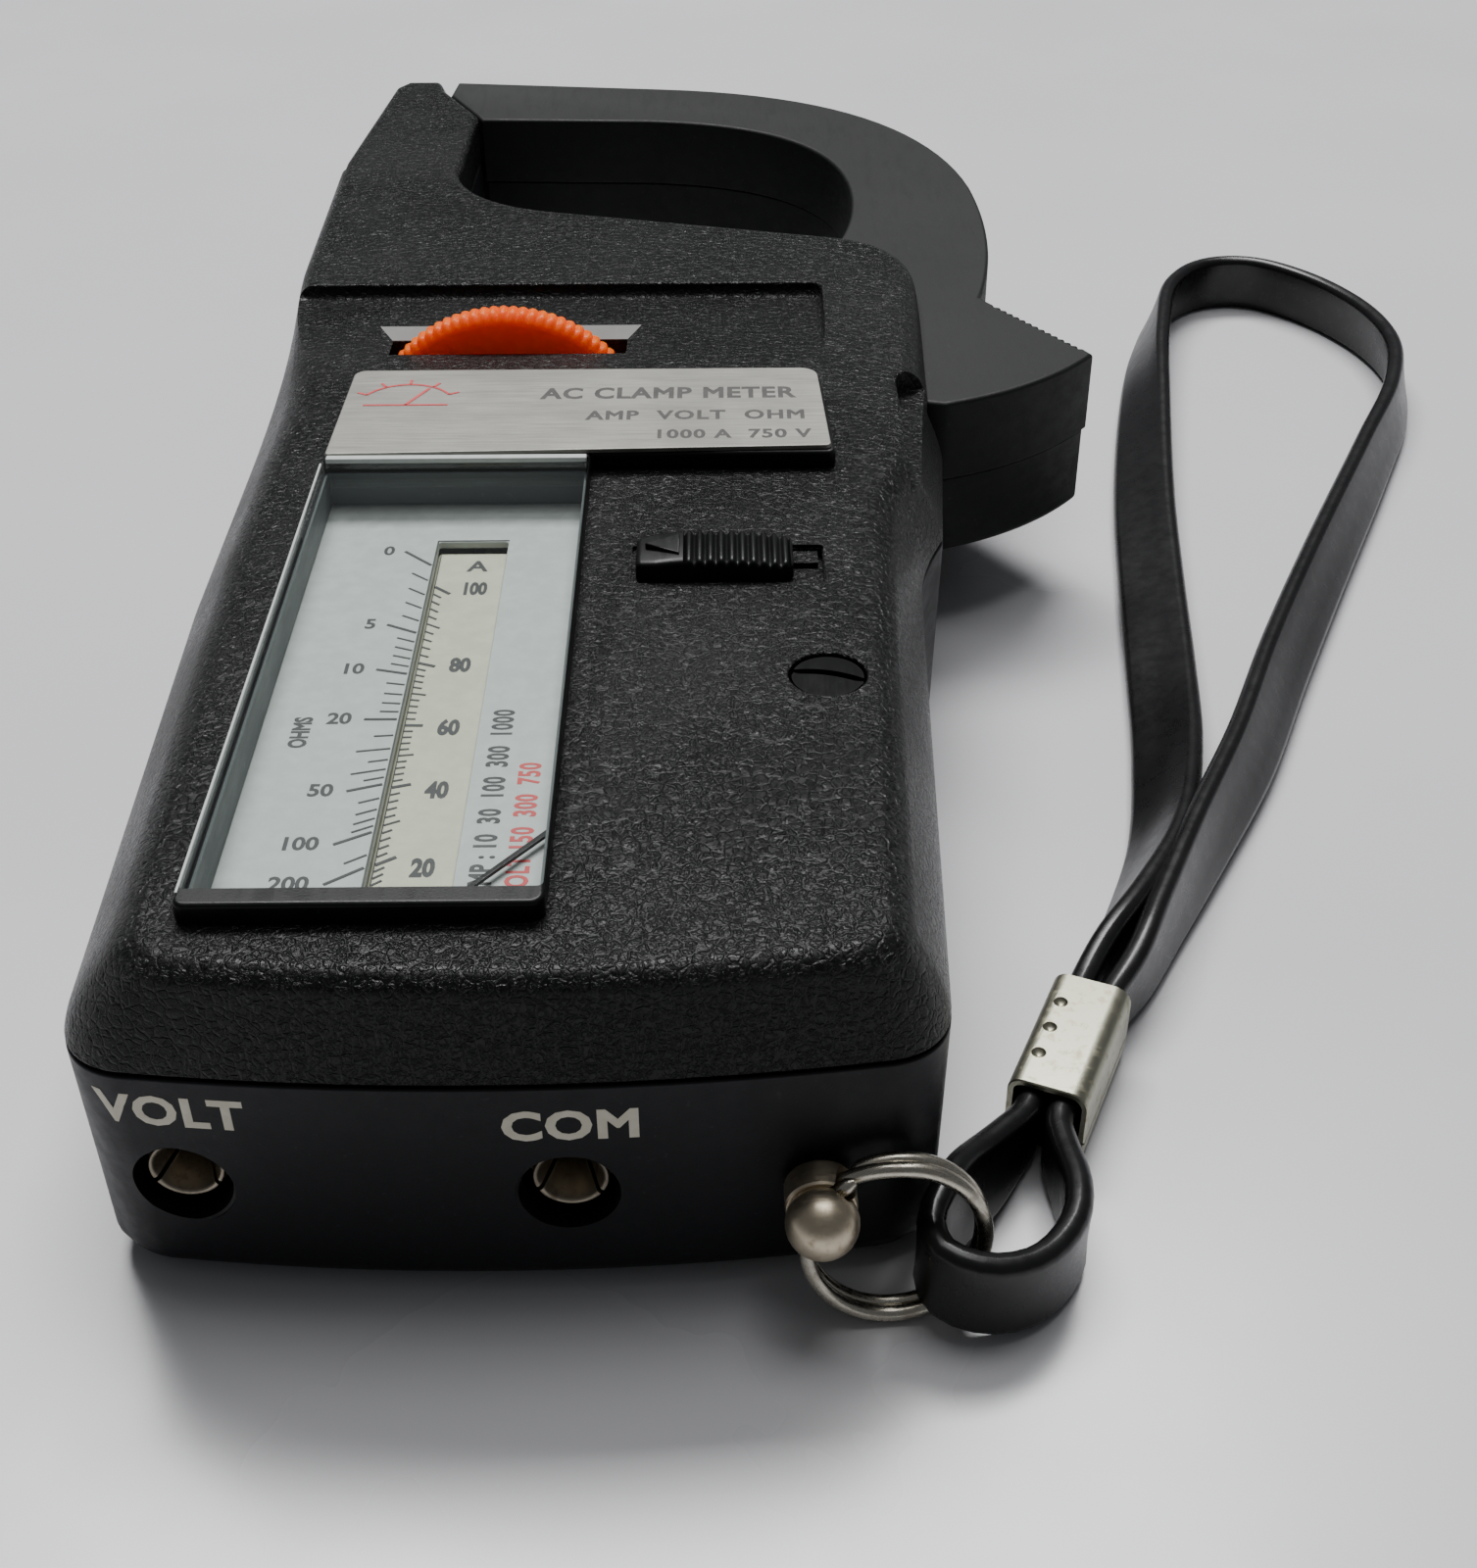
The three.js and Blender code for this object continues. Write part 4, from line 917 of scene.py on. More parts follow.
def wheel_slot():
    """The slot for the wheel, with a shallow bevel that slopes up behind it and at its ends."""
    near, far = 105.7, 111.9

    def ring(z, left, right, back, flare=0.0):
        return [(left + flare, near, z), (right - flare, near, z), (right, back, z), (left, back, z)]

    bevel_far = far + 3.7
    rings = [ring(24.0, -23.8, 7.2, far), ring(31.2, -23.0, 6.6, far), ring(32.8, -22.1, 6.0, far),
             ring(33.12, -24.1, 7.65, bevel_far, 1.7), ring(37.5, -24.1, 7.65, bevel_far, 1.7)]
    return stack("wheel_slot", rings)


def make_rear_case():
    case = slab("rear_shell", BODY_PLAN, BACK_PAD, PART_Z - SEAM, 2.4, 0.3, draft, 5, CASE)
    combine(case, slab("pad", inset(BODY_PLAN, 3.4), 0, BACK_PAD + 0.6, 0.35), "UNION")
    combine(case, slab("finger", FINGER_PLAN, FINGER_LOW, PART_Z - SEAM, 1.2, 0.3), "UNION")
    combine(case, slab("hollow", inset(BODY_PLAN, WALL), BACK_PAD + WALL, PART_Z + 4, 0.8, 0, draft, 4))
    combine(case, slab("finger_hollow", inset(FINGER_PLAN, WALL), FINGER_LOW + WALL, PART_Z + 4))
    combine(case, block("link", -33.5, -22.9, 158, 175, FINGER_LOW + WALL, PART_Z + 4))
    for x, y in SCREW_PLACES:
        combine(case, turned_post("boss", x, y, BACK_PAD + 1, PART_Z - 1, 3.8), "UNION")
        combine(case, turned_post("counterbore", x, y, -1, 4, 3.1))
        combine(case, turned_post("screw_hole", x, y, -1, PART_Z + 1, 1.7))
    combine(case, turned_post("pivot_boss", *PIVOT, BACK_PAD + 1, JAW_LOW - 0.4, 4.6), "UNION")
    combine(case, turned_post("pivot_hole", *PIVOT, 3.4, PART_Z, 2.3))
    for x, y in JACKS.values():
        recess, hole = JACK_RECESS_R, JACK_R + 0.3
        bore = turned("bore", [(recess + 0.35, -4), (recess + 0.35, 0.0), (recess + 0.1, 0.12), (recess, 0.4),
                               (recess, 4.2), (hole, 4.2), (hole, 9)], 56)
        combine(case, moved(bore, along_y(x, end_face(x, JACK_Z), JACK_Z)))
    socket = turned("stud_hole", [(2.1, -6), (2.1, 9)], 40)
    combine(case, moved(socket, along_y(STUD["x"], -5, STUD["z"])))
    combine(case, lever_pocket())
    finish_surface(case)
    place(case, "case", "case_plastic", "rear_case")


def turned_post(name, x, y, z0, z1, r, sides=36):
    return slab(name, disc_plan(x, y, r, sides), z0, z1)


def end_face(x, z):
    """Where the near end wall's outer face is, at x and height z."""
    edge = sorted(p for p in BODY_PLAN if p[1] < -3)
    before, after = next((a, b) for a, b in zip(edge, edge[1:]) if b[0] >= x)
    y = mix(before[1], after[1], (x - before[0]) / (after[0] - before[0]))
    return draft(x, y, z)[1]


def track_plan():
    """The sunk track that the pointer lock slides in."""
    return rounded(rectangle(TRACK["left"], TRACK["right"], TRACK["near"], TRACK["far"]), 0.4, 3)


def make_front_cover():
    cover = slab("cover_shell", BODY_PLAN, PART_Z + SEAM, FACE_Z, 0.3, 1.7, lean_in, 6, COVER, steps=6)
    combine(cover, slab("finger", FINGER_PLAN, PART_Z + SEAM, FINGER_TOP, 0.3, 1.2), "UNION")
    combine(cover, slab("hollow", inset(BODY_PLAN, WALL), PART_Z - 4, FACE_Z - 2, 0, 0.8, lean_in, 4))
    combine(cover, slab("finger_hollow", inset(FINGER_PLAN, WALL), PART_Z - 4, FINGER_TOP - 2))
    combine(cover, block("link", -33.5, -22.9, 158, 175, PART_Z - 4, FINGER_TOP - 2))
    combine(cover, block("thicker", -31, 31.3, 100.5, 129.4, 30.2, 32.6), "UNION")
    guard = block("guard", 33.6, 39.4, 58, 101.5, PART_Z + 1, 32.4)
    combine(guard, slab("guard_limit", inset(BODY_PLAN, 0.4), PART_Z, 33, bend=lean_in), "INTERSECT")
    combine(cover, guard, "UNION")
    combine(cover, turned_post("pivot_boss", *PIVOT, JAW_TOP + 0.4, FACE_Z - 1.5, 4.6), "UNION")
    combine(cover, turned_post("pivot_hole", *PIVOT, PART_Z, 31.6, 2.3))
    combine(cover, wheel_scoop())
    combine(cover, wheel_slot())
    window = rectangle(FLAG["left"] + 0.2, FLAG["right"] - 0.2, WINDOW_NEAR, FLAG["far"] - 0.6)
    window = rounded(window, 0.4, 3)
    combine(cover, slab("window_hole", window, PART_Z, FACE_Z + 2))
    combine(cover, slab("track", track_plan(), FACE_Z - TRACK["deep"], FACE_Z + 2))
    for left, right, near, far in ((18, 26.8, 58.5, 59.0), (18, 26.8, 55.0, 56.2), (26.5, 27.0, 52.3, 59.0)):
        combine(cover, block("rail", left, right, near, far, FACE_Z - 1.3, FACE_Z))
    combine(cover, block("stem_slot", SLIDER["x"] - 4, SLIDER["x"] + 4 + SLIDER["travel"], SLIDER["y"] - 1.2,
                         SLIDER["y"] + 1.2, 30, FACE_Z))
    screw = disc_plan(ZERO_SCREW["x"], ZERO_SCREW["y"], ZERO_SCREW["r"] + 0.28, 56)
    combine(cover, flared_hole("screw_well", screw, 30, FACE_Z, 0.22))
    ledge = rounded([(37.1, 62), (70, 62), (70, 98), (44.2, 98), (44.2, 100.6), (37.1, 100.6)],
                    [0.8, 0, 0, 0.5, 3.2, 3.2], 7)
    combine(cover, flared_hole("guard_ledge", ledge, 31.3, FACE_Z, 0.35, 0.5))
    combine(cover, lever_pocket())
    finish_surface(cover)
    place(cover, "case", "cover_plastic", "front_cover")


make_rear_case()
make_front_cover()


# ---------------------------------------------------------------- jaw lever
JAW_PLAN = outline(
    (-26.1, 216.2), (-19.9, 203.6), (6, 202.4), ((25, 200.5), (36.2, 190), (36, 168)),
    ((35.6, 152), (29, 142)), ((22.5, 133), (23.6, 125)), ((25, 108.5), (36, 101.5)), (43.2, 99.6),
    ((55, 103.5), (62.4, 113.4)), (50.6, 131), ((53.6, 143), (54.8, 156), (53.4, 172)),
    ((50.4, 197), (36.5, 215.5), (8, 218.8)), (-25.6, 222.8), (-26.1, 216.2), steps=20, longest=3.0,
)


def ribbed_trigger(plan):
    """Adds the fine grip ribs along the trigger's far edge."""
    start, end = Vector((61.6, 114.6)), Vector((52.2, 128.6))
    along = (end - start).normalized()
    outward = Vector((along.y, -along.x))
    length = (end - start).length
    out = []
    added = False
    for x, y in plan:
        offset = Vector((x, y)) - start
        on_edge = abs(offset.dot(outward)) < 0.9 and -0.2 < offset.dot(along) < length + 0.2
        if not on_edge:
            out.append((x, y))
        elif not added:
            added = True
            ribs = 14
            for k in range(ribs * 4):
                t = (k + 0.5) / (ribs * 4)
                wave = 0.26 * math.sin(TAU * ribs * t) - 0.05
                p = start + along * length * t + outward * wave
                out.append((p.x, p.y))
    return out


def make_jaw():
    plan = anticlockwise(JAW_PLAN)
    line = anticlockwise(ribbed_trigger(JAW_PLAN))
    front = slab("jaw_front_shell", line, JAW_MID + 0.05, JAW_TOP, 0.25, 0.55, material=JAW, steps=4)
    rear = slab("jaw_rear_shell", inset(plan, 0.35), JAW_LOW, JAW_MID - 0.05, 0.9, 0.25, material=JAW,
                steps=4)
    core_line = [(-20.5, 211.2), (5, 209.9), (24, 206), (37, 196.5), (43.8, 182), (44.8, 164), (41.8, 147),
                 (38, 139)]
    for half in (front, rear):
        combine(half, ribbon("core_channel", core_line, 9.4, JAW_LOW + 4.8, JAW_TOP - 4.8))
        combine(half, turned_post("pivot_bore", *PIVOT, 0, 40, 2.3))
        finish_surface(half)
    place(front, "jaw", "jaw_plastic", "jaw_front_half")
    place(rear, "jaw", "jaw_plastic", "jaw_rear_half")


def ribbon(name, centres, width, low, high, material=None):
    """A band of that width along a line of centres, from z low to z high."""
    line = catmull(centres, 0.2)
    left, right = [], []
    for i, p in enumerate(line):
        along = (Vector(line[min(i + 1, len(line) - 1)]) - Vector(line[max(i - 1, 0)])).normalized()
        side = Vector((along.y, -along.x)) * width / 2
        right.append((p[0] + side.x, p[1] + side.y))
        left.append((p[0] - side.x, p[1] - side.y))
    return slab(name, anticlockwise(right + left[::-1]), low, high, material=material)


make_jaw()


# ---------------------------------------------------------------- window, nameplate and dial
def flag_plan(grow=0.0):
    f = FLAG
    corners = [(f["left"], f["near"]), (f["right"], f["near"]), (f["right"], f["far"]), (f["wide"], f["far"]),
               (f["wide"] - 1.0, f["top"]), (f["left"] + 0.4, f["top"])]
    return inset(rounded(corners, [1.0, 1.2, 0.3, 0.8, 2.2, 1.6], 6, 6.0), -grow)


def make_lens_frame():
    """The thin frame, its grey side walls down to the card, and the clear pane."""
    left, right, near, far = FLAG["left"] + 0.45, FLAG["right"] - 0.4, WINDOW_NEAR + 1, FLAG["far"] - 0.9
    bezel = slab("bezel_shell", flag_plan(), FACE_Z + SEAM, BEZEL_Z, 0.1, 0.4, material=FRAME, steps=4)
    opening = rounded(rectangle(left, right, near, far), 0.5, 4)
    combine(bezel, flared_hole("opening", opening, 20, BEZEL_Z, 0.12))
    seat = rounded(rectangle(left - 0.2, right + 0.2, near - 0.6, far + 0.2), 0.5, 4)
    combine(bezel, slab("seat", seat, 34.5, BEZEL_Z + 3))
    finish_surface(bezel)
    place(bezel, "case", "frame_plastic", "lens_frame")
    walls = slab("window_walls", inset(opening, -0.15), 30.75, 34.4, material=WALL_GREY)
    combine(walls, slab("between", inset(opening, 0.25), 29, 36))
    finish_surface(walls)
    place(walls, "case", "frame_plastic")
    pane = slab("window_pane", inset(seat, 0.05), 34.7, 35.85, 0.0, 0.15, material=GLASS, steps=3)
    finish_surface(pane)
    place(pane, "case", "lens", "window_lens")


def make_nameplate():
    f = FLAG
    corners = [(f["left"] + 0.5, f["far"] - 0.8), (f["wide"] - 0.5, f["far"] + 0.5),
               (f["wide"] - 1.3, f["top"] - 0.5), (f["left"] + 0.9, f["top"] - 0.5)]
    plan = rounded(corners, [0.3, 0.6, 2.0, 1.4], 6, 8.0)
    plate = slab("nameplate_foil", plan, BEZEL_Z + 0.05, BEZEL_Z + 0.5, 0.0, 0.12, material=FOIL, steps=3)
    finish_surface(plate)
    place(plate, "case", "silver_foil", "nameplate")
    # A light card-grey strip under the nameplate's near edge: painted highlight standing in for the lit clear
    # edge of the lens.
    rim = block("lens_edge_painted_highlight", f["left"] + 0.7, f["right"] - 0.4, f["far"] - 1.75, f["far"] - 0.85,
                BEZEL_Z - 0.2, BEZEL_Z + 0.36, 0.12, CARD_AND_EDGE_GLINT)
    finish_surface(rim)
    place(rim, "case", "lens")
    # A thin light strip down the frame's left edge: painted glint standing in for light caught by the
    # window's edge.
    glint = block("frame_edge_painted_glint", f["left"] + 0.12, f["left"] + 0.34, f["near"] + 1.5, f["far"] - 2,
                  BEZEL_Z - 0.2, BEZEL_Z + 0.04, 0.05, CARD_AND_EDGE_GLINT)
    finish_surface(glint)
    place(glint, "case", "lens")


def make_dial():
    """The scale card with a long opening over the drum."""
    card = slab("dial_card", rectangle(-26.2, 13, 2.2, 75.2), DIAL_TOP - 0.7, DIAL_TOP, material=CARD_AND_EDGE_GLINT)
    half = DRUM_APOTHEM * math.tan(math.pi / DRUM_SIDES) + 0.12
    gap = rounded(rectangle(DRUM_X - half, DRUM_X + half, 8.8, 66.4), 0.3, 3)
    combine(card, flared_hole("drum_gap", gap, 29, DIAL_TOP, 0.12))
    for y0, y1 in ((20, 26), (52, 58)):
        combine(card, block("foot", -26.2, -23, y0, y1, 24.5, DIAL_TOP - 0.4), "UNION")
    finish_surface(card)
    place(card, "case", "dial_white", "dial_plate")


make_lens_frame()
make_nameplate()
make_dial()


# ---------------------------------------------------------------- lettering and ticks
class Print:
    """Flat marks gathered into one object: each is placed by a matrix in millimetres."""

    def __init__(self, name, material):
        self.name, self.material = name, material
        self.points, self.faces = [], []

    def bar(self, a, b, width, z):
        """A line from a to b."""
        a, b = Vector(a), Vector(b)
        side = Vector((a.y - b.y, b.x - a.x)).normalized() * width / 2
        first = len(self.points)
        for z_here in (z, z + 0.04):
            for p in (a - side, b - side, b + side, a + side):
                self.points.append((p.x, p.y, z_here))
        self.faces += [tuple(first + i for i in face) for face in
                       ((3, 2, 1, 0), (4, 5, 6, 7), (0, 1, 5, 4), (1, 2, 6, 5), (2, 3, 7, 6), (3, 0, 4, 7))]

    def text(self, words, height, matrix, bold=0.0, narrow=1.0, spacing=1.0, align="CENTER"):
        """Words of that capital height in the matrix's plane, thickened by bold millimetres all round."""
        curve = bpy.data.curves.new("words", "FONT")
        curve.body = words
        curve.align_x = align
        curve.align_y = "CENTER"
        curve.space_character = spacing
        size = height * 1.4
        curve.extrude = 0.02 / size
        curve.bevel_depth = bold / size
        curve.bevel_resolution = 1
        curve.resolution_u = 3
        words_object = bpy.data.objects.new("words", curve)
        bpy.context.scene.collection.objects.link(words_object)
        bpy.context.view_layer.update()
        graph = bpy.context.evaluated_depsgraph_get()
        mesh = bpy.data.meshes.new_from_object(words_object.evaluated_get(graph))
        flat = size * 0.02 / (0.02 + bold)
        first = len(self.points)
        for v in mesh.vertices:
            self.points.append(tuple(matrix @ Vector((v.co.x * size * narrow, v.co.y * size, v.co.z * flat))))
        self.faces += [tuple(first + i for i in f.vertices) for f in mesh.polygons]
        bpy.data.objects.remove(words_object, do_unlink=True)

    def make(self, body, slot, bend=None):
        points = [bend(*p) for p in self.points] if bend else self.points
        marks = mesh_piece(self.name, points, self.faces, self.material)
        place(marks, body, slot)
        return marks


def at(x, y, z, turn=0.0):
    return Matrix.Translation((x, y, z)) @ Matrix.Rotation(math.radians(turn), 4, "Z")


OHM_TICKS_X = (-15.1, -12.15)
OHM_NUMBERS = {"0": 64.5, "5": 50.2, "10": 42.2, "20": 33.9, "50": 22.9, "100": 15.4, "200": 10.1}


def ohm_place(ohms):
    """Where the ohm scale's outer line holds that many ohms."""
    known = sorted((float(k), v) for k, v in OHM_NUMBERS.items())
    for (a, ya), (b, yb) in zip(known, known[1:]):
        if a <= ohms <= b:
            t = (1 / (a + 22) - 1 / (ohms + 22)) / (1 / (a + 22) - 1 / (b + 22))
            return mix(ya, yb, t)
    return known[-1][1]


def print_dial():
    ink = Print("dial_scale_marks", BLACK_INK)
    z = DIAL_TOP + 0.01
    px, py = NEEDLE_PIVOT
    outer, inner = OHM_TICKS_X
    minor = [1, 2, 3, 4, 6, 7, 8, 9, 12, 14, 16, 18, 25, 30, 35, 40, 45, 60, 70, 80, 90, 150]
    for ohms in [float(k) for k in OHM_NUMBERS] + minor:
        y = ohm_place(ohms)
        major = str(int(ohms)) in OHM_NUMBERS
        slope = (y - py) / (outer - px)
        start = outer if major or ohms in (30, 40) else outer + 1.25
        end_y = y + slope * (inner - outer)
        ink.bar((start, y + slope * (start - outer)), (inner, end_y), 0.3 if major else 0.2, z)
    for words, y in OHM_NUMBERS.items():
        ink.text(words, 1.75, at(-16.1 - 0.62 * len(words), y + 0.1, z), 0.075, 0.9)
    ink.text("OHMS", 1.55, at(-20.4, 31.9, z, 90), 0.09, 0.8)
    ink.text("AMP : 10  30  100  300  1000", 1.85, at(-2.5, 8.4, z, 90), 0.085, 0.78, 1.1, "LEFT")
    f = DRUM_APOTHEM * math.tan(math.pi / DRUM_SIDES)
    ink.bar((DRUM_X - f - 0.2, 8.6), (DRUM_X - f - 0.2, 66.6), 0.16, z)
    ink.bar((DRUM_X - f - 0.2, 66.6), (DRUM_X + f + 0.2, 66.6), 0.16, z)
    ink.make("case", "dial_white")
    red = Print("dial_volt_marks", RED_INK)
    red.text("VOLT 150  300  750", 1.85, at(0.45, 8.2, z, 90), 0.085, 0.78, 1.1, "LEFT")
    red.make("case", "dial_white")


DRUM_RANGES = [("A", 100), ("A", 300), ("A", 1000), ("V", 150), ("V", 300), ("V", 750), ("A", 10), ("A", 30)]
DRUM_SCALE = [(0.0, 5.0), (0.2, 14.0), (0.4, 24.9), (0.6, 34.5), (0.8, 45.0), (1.0, 59.2)]


def drum_place(share):
    """How far along Y a share of the full scale lies; the scale opens out towards its end."""
    for (a, ya), (b, yb) in zip(DRUM_SCALE, DRUM_SCALE[1:]):
        if share <= b:
            return mix(ya, yb, (share - a) / (b - a))
    return DRUM_SCALE[-1][1]


def print_drum():
    """One scale on each of the drum's eight faces."""
    ink = Print("drum_scale_marks", BLACK_INK)
    red = Print("drum_volt_marks", RED_INK)
    half = DRUM_APOTHEM * math.tan(math.pi / DRUM_SIDES)
    for side, (unit, full) in enumerate(DRUM_RANGES):
        marks = red if unit == "V" else ink
        turn = Matrix.Translation((DRUM_X, 0, DRUM_Z)) @ Matrix.Rotation(-TAU * side / DRUM_SIDES, 4, "Y")
        before = len(marks.points)
        z = DRUM_APOTHEM + 0.01
        marks.text(unit, 2.1, at(0.6, 63.2, z), 0.08)
        for k in range(1, 6):
            value = full * k / 5
            y = drum_place(k / 5)
            words = f"{value:g}"
            if y > DRUM_NEAR + 1:
                marks.text(words, 2.3, at(0.65, y - 0.5, z), 0.17, 0.52 if len(words) > 2 else 0.6)
        for k in range(5, 51):
            y = drum_place(k / 50)
            if y < DRUM_NEAR + 0.3:
                continue
            reach = 1.75 if k % 10 == 0 else 1.45 if k % 5 == 0 else 0.95
            slope = (y - NEEDLE_PIVOT[1]) / (DRUM_X - half - NEEDLE_PIVOT[0]) * 0.9
            width = 0.36 if k % 10 == 0 else 0.22
            marks.bar((-half + 0.15, y), (-half + reach, y + slope * reach), width, z)
        marks.bar((-half + 0.1, DRUM_NEAR + 0.2), (-half + 0.1, DRUM_FAR - 0.4), 0.1, z)
        for i in range(before, len(marks.points)):
            marks.points[i] = tuple(turn @ Vector(marks.points[i]))
    ink.make("selector", "drum_ivory")
    red.make("selector", "drum_ivory")


def make_drum():
    r = DRUM_APOTHEM / math.cos(math.pi / DRUM_SIDES)
    corners = [(r * math.cos(TAU * (k + 0.5) / DRUM_SIDES), r * math.sin(TAU * (k + 0.5) / DRUM_SIDES))
               for k in range(DRUM_SIDES)]
    drum = slab("drum_body", rounded(corners, 0.25, 3), 0, DRUM_FAR - DRUM_NEAR, 0.2, 0.2, material=IVORY,
                steps=3)
    combine(drum, turned_post("bore", 0, 0, -1, 90, SHAFT_R + 0.3))
    moved(drum, along_y(DRUM_X, DRUM_NEAR, DRUM_Z))
    finish_surface(drum, 25)
    place(drum, "selector", "drum_ivory", "scale_drum")


def print_nameplate():
    z = BEZEL_Z + 0.51
    ink = Print("nameplate_marks", GREY_INK)
    ink.text("AC CLAMP METER", 2.7, at(25.2, 88.9, z), 0.13, 0.84, 1.1, "RIGHT")
    ink.text("AMP  VOLT  OHM", 2.1, at(26.2, 83.4, z), 0.1, 0.9, 1.15, "RIGHT")
    ink.text("1000 A  750 V", 2.0, at(26.6, 78.8, z), 0.09, 0.9, 1.12, "RIGHT")
    ink.make("case", "silver_foil")
    red = Print("nameplate_dial_mark", RED_INK)
    centre = Vector((-17.2, 86.4))
    count = 16
    rim = [centre + Vector((math.cos(a), math.sin(a))) * 5.2
           for a in (math.radians(30 + 120 * k / count) for k in range(count + 1))]
    for a, b in zip(rim, rim[1:]):
        red.bar(a, b, 0.3, z)
    for k in range(5):
        a = math.radians(30 + 30 * k)
        way = Vector((math.cos(a), math.sin(a)))
        red.bar(centre + way * 5.2, centre + way * 6.4, 0.3, z)
    red.bar(centre, centre + Vector((2.2, 4.2)), 0.35, z)
    red.bar(centre + Vector((-4.6, 0)), centre + Vector((4.6, 0)), 0.3, z)
    red.make("case", "silver_foil")


def print_legends():
    """The terminal names on the bowed end wall."""
    ink = Print("terminal_marks", LEGEND_INK)
    upright = Matrix.Rotation(math.radians(90), 4, "X")
    ink.text("VOLT", 3.1, Matrix.Translation((-25.9, 0, 20.2)) @ upright, 0.16, 1.0, 1.1)
    ink.text("COM", 3.1, Matrix.Translation((5.1, 0, 19.6)) @ upright, 0.16, 1.04, 1.08)
    ink.make("case", "cream_plastic", lambda x, y, z: (x, end_face(x, z) + y - 0.02, z))


print_dial()
make_drum()
print_drum()
print_nameplate()
print_legends()


# ---------------------------------------------------------------- thumbwheel, slider, screw, needle
def make_thumbwheel():
    """A thick disc with rounded grip ridges, bevelled faces and a far face that is sunk inside its rim."""
    per_tooth = 6
    profile = [0.0, 0.17, 0.30, 0.34, 0.30, 0.17]
    rings = []
    levels = [(0.0, -1.15, 0.0), (0.45, -0.55, 0.35), (0.95, -0.1, 0.8), (1.3, 0.0, 1.0), (2.8, 0.0, 1.0),
              (3.2, -0.1, 0.8), (3.7, -0.5, 0.35), (4.0, -1.0, 0.0)]
    for z, grow, ridge in levels:
        ring = []
        for k in range(WHEEL_TEETH * per_tooth):
            a = TAU * k / (WHEEL_TEETH * per_tooth)
            r = WHEEL_R - 0.34 + grow + profile[k % per_tooth] * ridge
            ring.append((r * math.cos(a), r * math.sin(a), z))
        rings.append(ring)
    wheel = stack("wheel_disc", rings, ORANGE)
    sink = lathe("sink", [(5.2, 3.41), (13.6, 3.41), (13.6, 4.2), (5.2, 4.2)], 72)
    combine(wheel, sink)
    combine(wheel, turned_post("bore", 0, 0, -1, 9, SHAFT_R + 0.3))
    moved(wheel, along_y(DRUM_X, WHEEL_NEAR, DRUM_Z))
    finish_surface(wheel, 40)
    place(wheel, "selector", "orange_plastic", "thumbwheel")


def make_slot_bevel():
    """A lighter grey strip on the slot's far bevel: painted sheen for the light that the glossy black bevel
    reflects.
    """
    rings = []
    for y, z in ((112.0, 32.84), (115.5, 33.14)):
        left, right = mix(-22.1, -24.1, (y - 111.9) / 3.7), mix(6.0, 7.65, (y - 111.9) / 3.7)
        rings.append([(left, y, z - 0.3), (right, y, z - 0.3), (right, y, z + 0.04), (left, y, z + 0.04)])
    strip = stack("slot_bevel", rings, BEVEL_SHEEN)
    finish_surface(strip)
    place(strip, "case", "frame_plastic")


def make_slider():
    """A crowned knob with round ribs across it and a raised arrow at its left end."""
    s = SLIDER
    base, half, wide = s["base"], s["length"] / 2, s["width"] / 2
    ribs_from = -half + 4.6
    pitch = 1.04
    rings = []
    stations = 170
    for k in range(stations + 1):
        x = mix(-half, half, k / stations)
        crown = 2.5 - 0.7 * (x / half) ** 2
        end = min(1.0, (half - abs(x)) / 0.5)
        crown *= math.sqrt(max(0.02, 1 - (1 - end) ** 2)) * 0.25 + 0.75
        plan = wide * (1 - 0.16 * max(0.0, abs(x) / half - 0.75) * 4) * (0.9 + 0.1 * math.sqrt(end))
        groove = 0.0
        if x > ribs_from and x < half - 0.3:
            wave = 0.5 - 0.5 * math.cos(TAU * (x - ribs_from) / pitch)
            groove = 0.5 * (1 - wave) ** 1.6
        top = crown - groove
        ring = [(-plan, 0), (plan, 0)]
        for j in range(9):
            a = math.pi * j / 8
            c, q = math.cos(a), math.sin(a)
            ring.append((plan * (abs(c) ** 0.28) * (1 if c >= 0 else -1), top * (0.76 + 0.24 * q**0.7)))
        rings.append([(s["x"] + x, s["y"] + u, base + v) for u, v in ring])
    knob = stack("slider_knob", rings, FRAME)
    tip, tail = -half + 0.9, -half + 4.2
    arrow_plan = [(s["x"] + tip, s["y"]), (s["x"] + tail, s["y"] - 1.9), (s["x"] + tail, s["y"] + 1.9)]
    arrow = slab("arrow", arrow_plan, base + 1.2, base + 2.6, 0, 0.12, steps=2)
    combine(knob, arrow, "UNION")
    stem = block("stem", s["x"] - 3.6, s["x"] + 3.6, s["y"] - 0.8, s["y"] + 0.8, 32.4, base + 0.4)
    combine(knob, stem, "UNION")
    finish_surface(knob, 50)
    place(knob, "pointer_lock", "frame_plastic", "lock_slider")


def make_screw():
    r = ZERO_SCREW["r"]
    profile = [(r - 0.3, -1.5), (r, -1.2), (r, -0.3)]
    for k in range(1, 8):
        a = k / 7
        profile.append((max(0.02, r * (1 - a)), -0.3 + 0.4 * (1 - (1 - a) ** 2)))
    head = turned("screw_dome", profile, 56, SCREW_BLACK)
    slot = block("slot", -4, 4, -0.42, 0.42, -0.55, 2)
    combine(head, moved(slot, Matrix.Rotation(math.radians(-14), 4, "Z")))
    moved(head, Matrix.Translation((ZERO_SCREW["x"], ZERO_SCREW["y"], FACE_Z)))
    finish_surface(head, 30)
    place(head, "zero_adjust", "frame_plastic", "zero_screw")


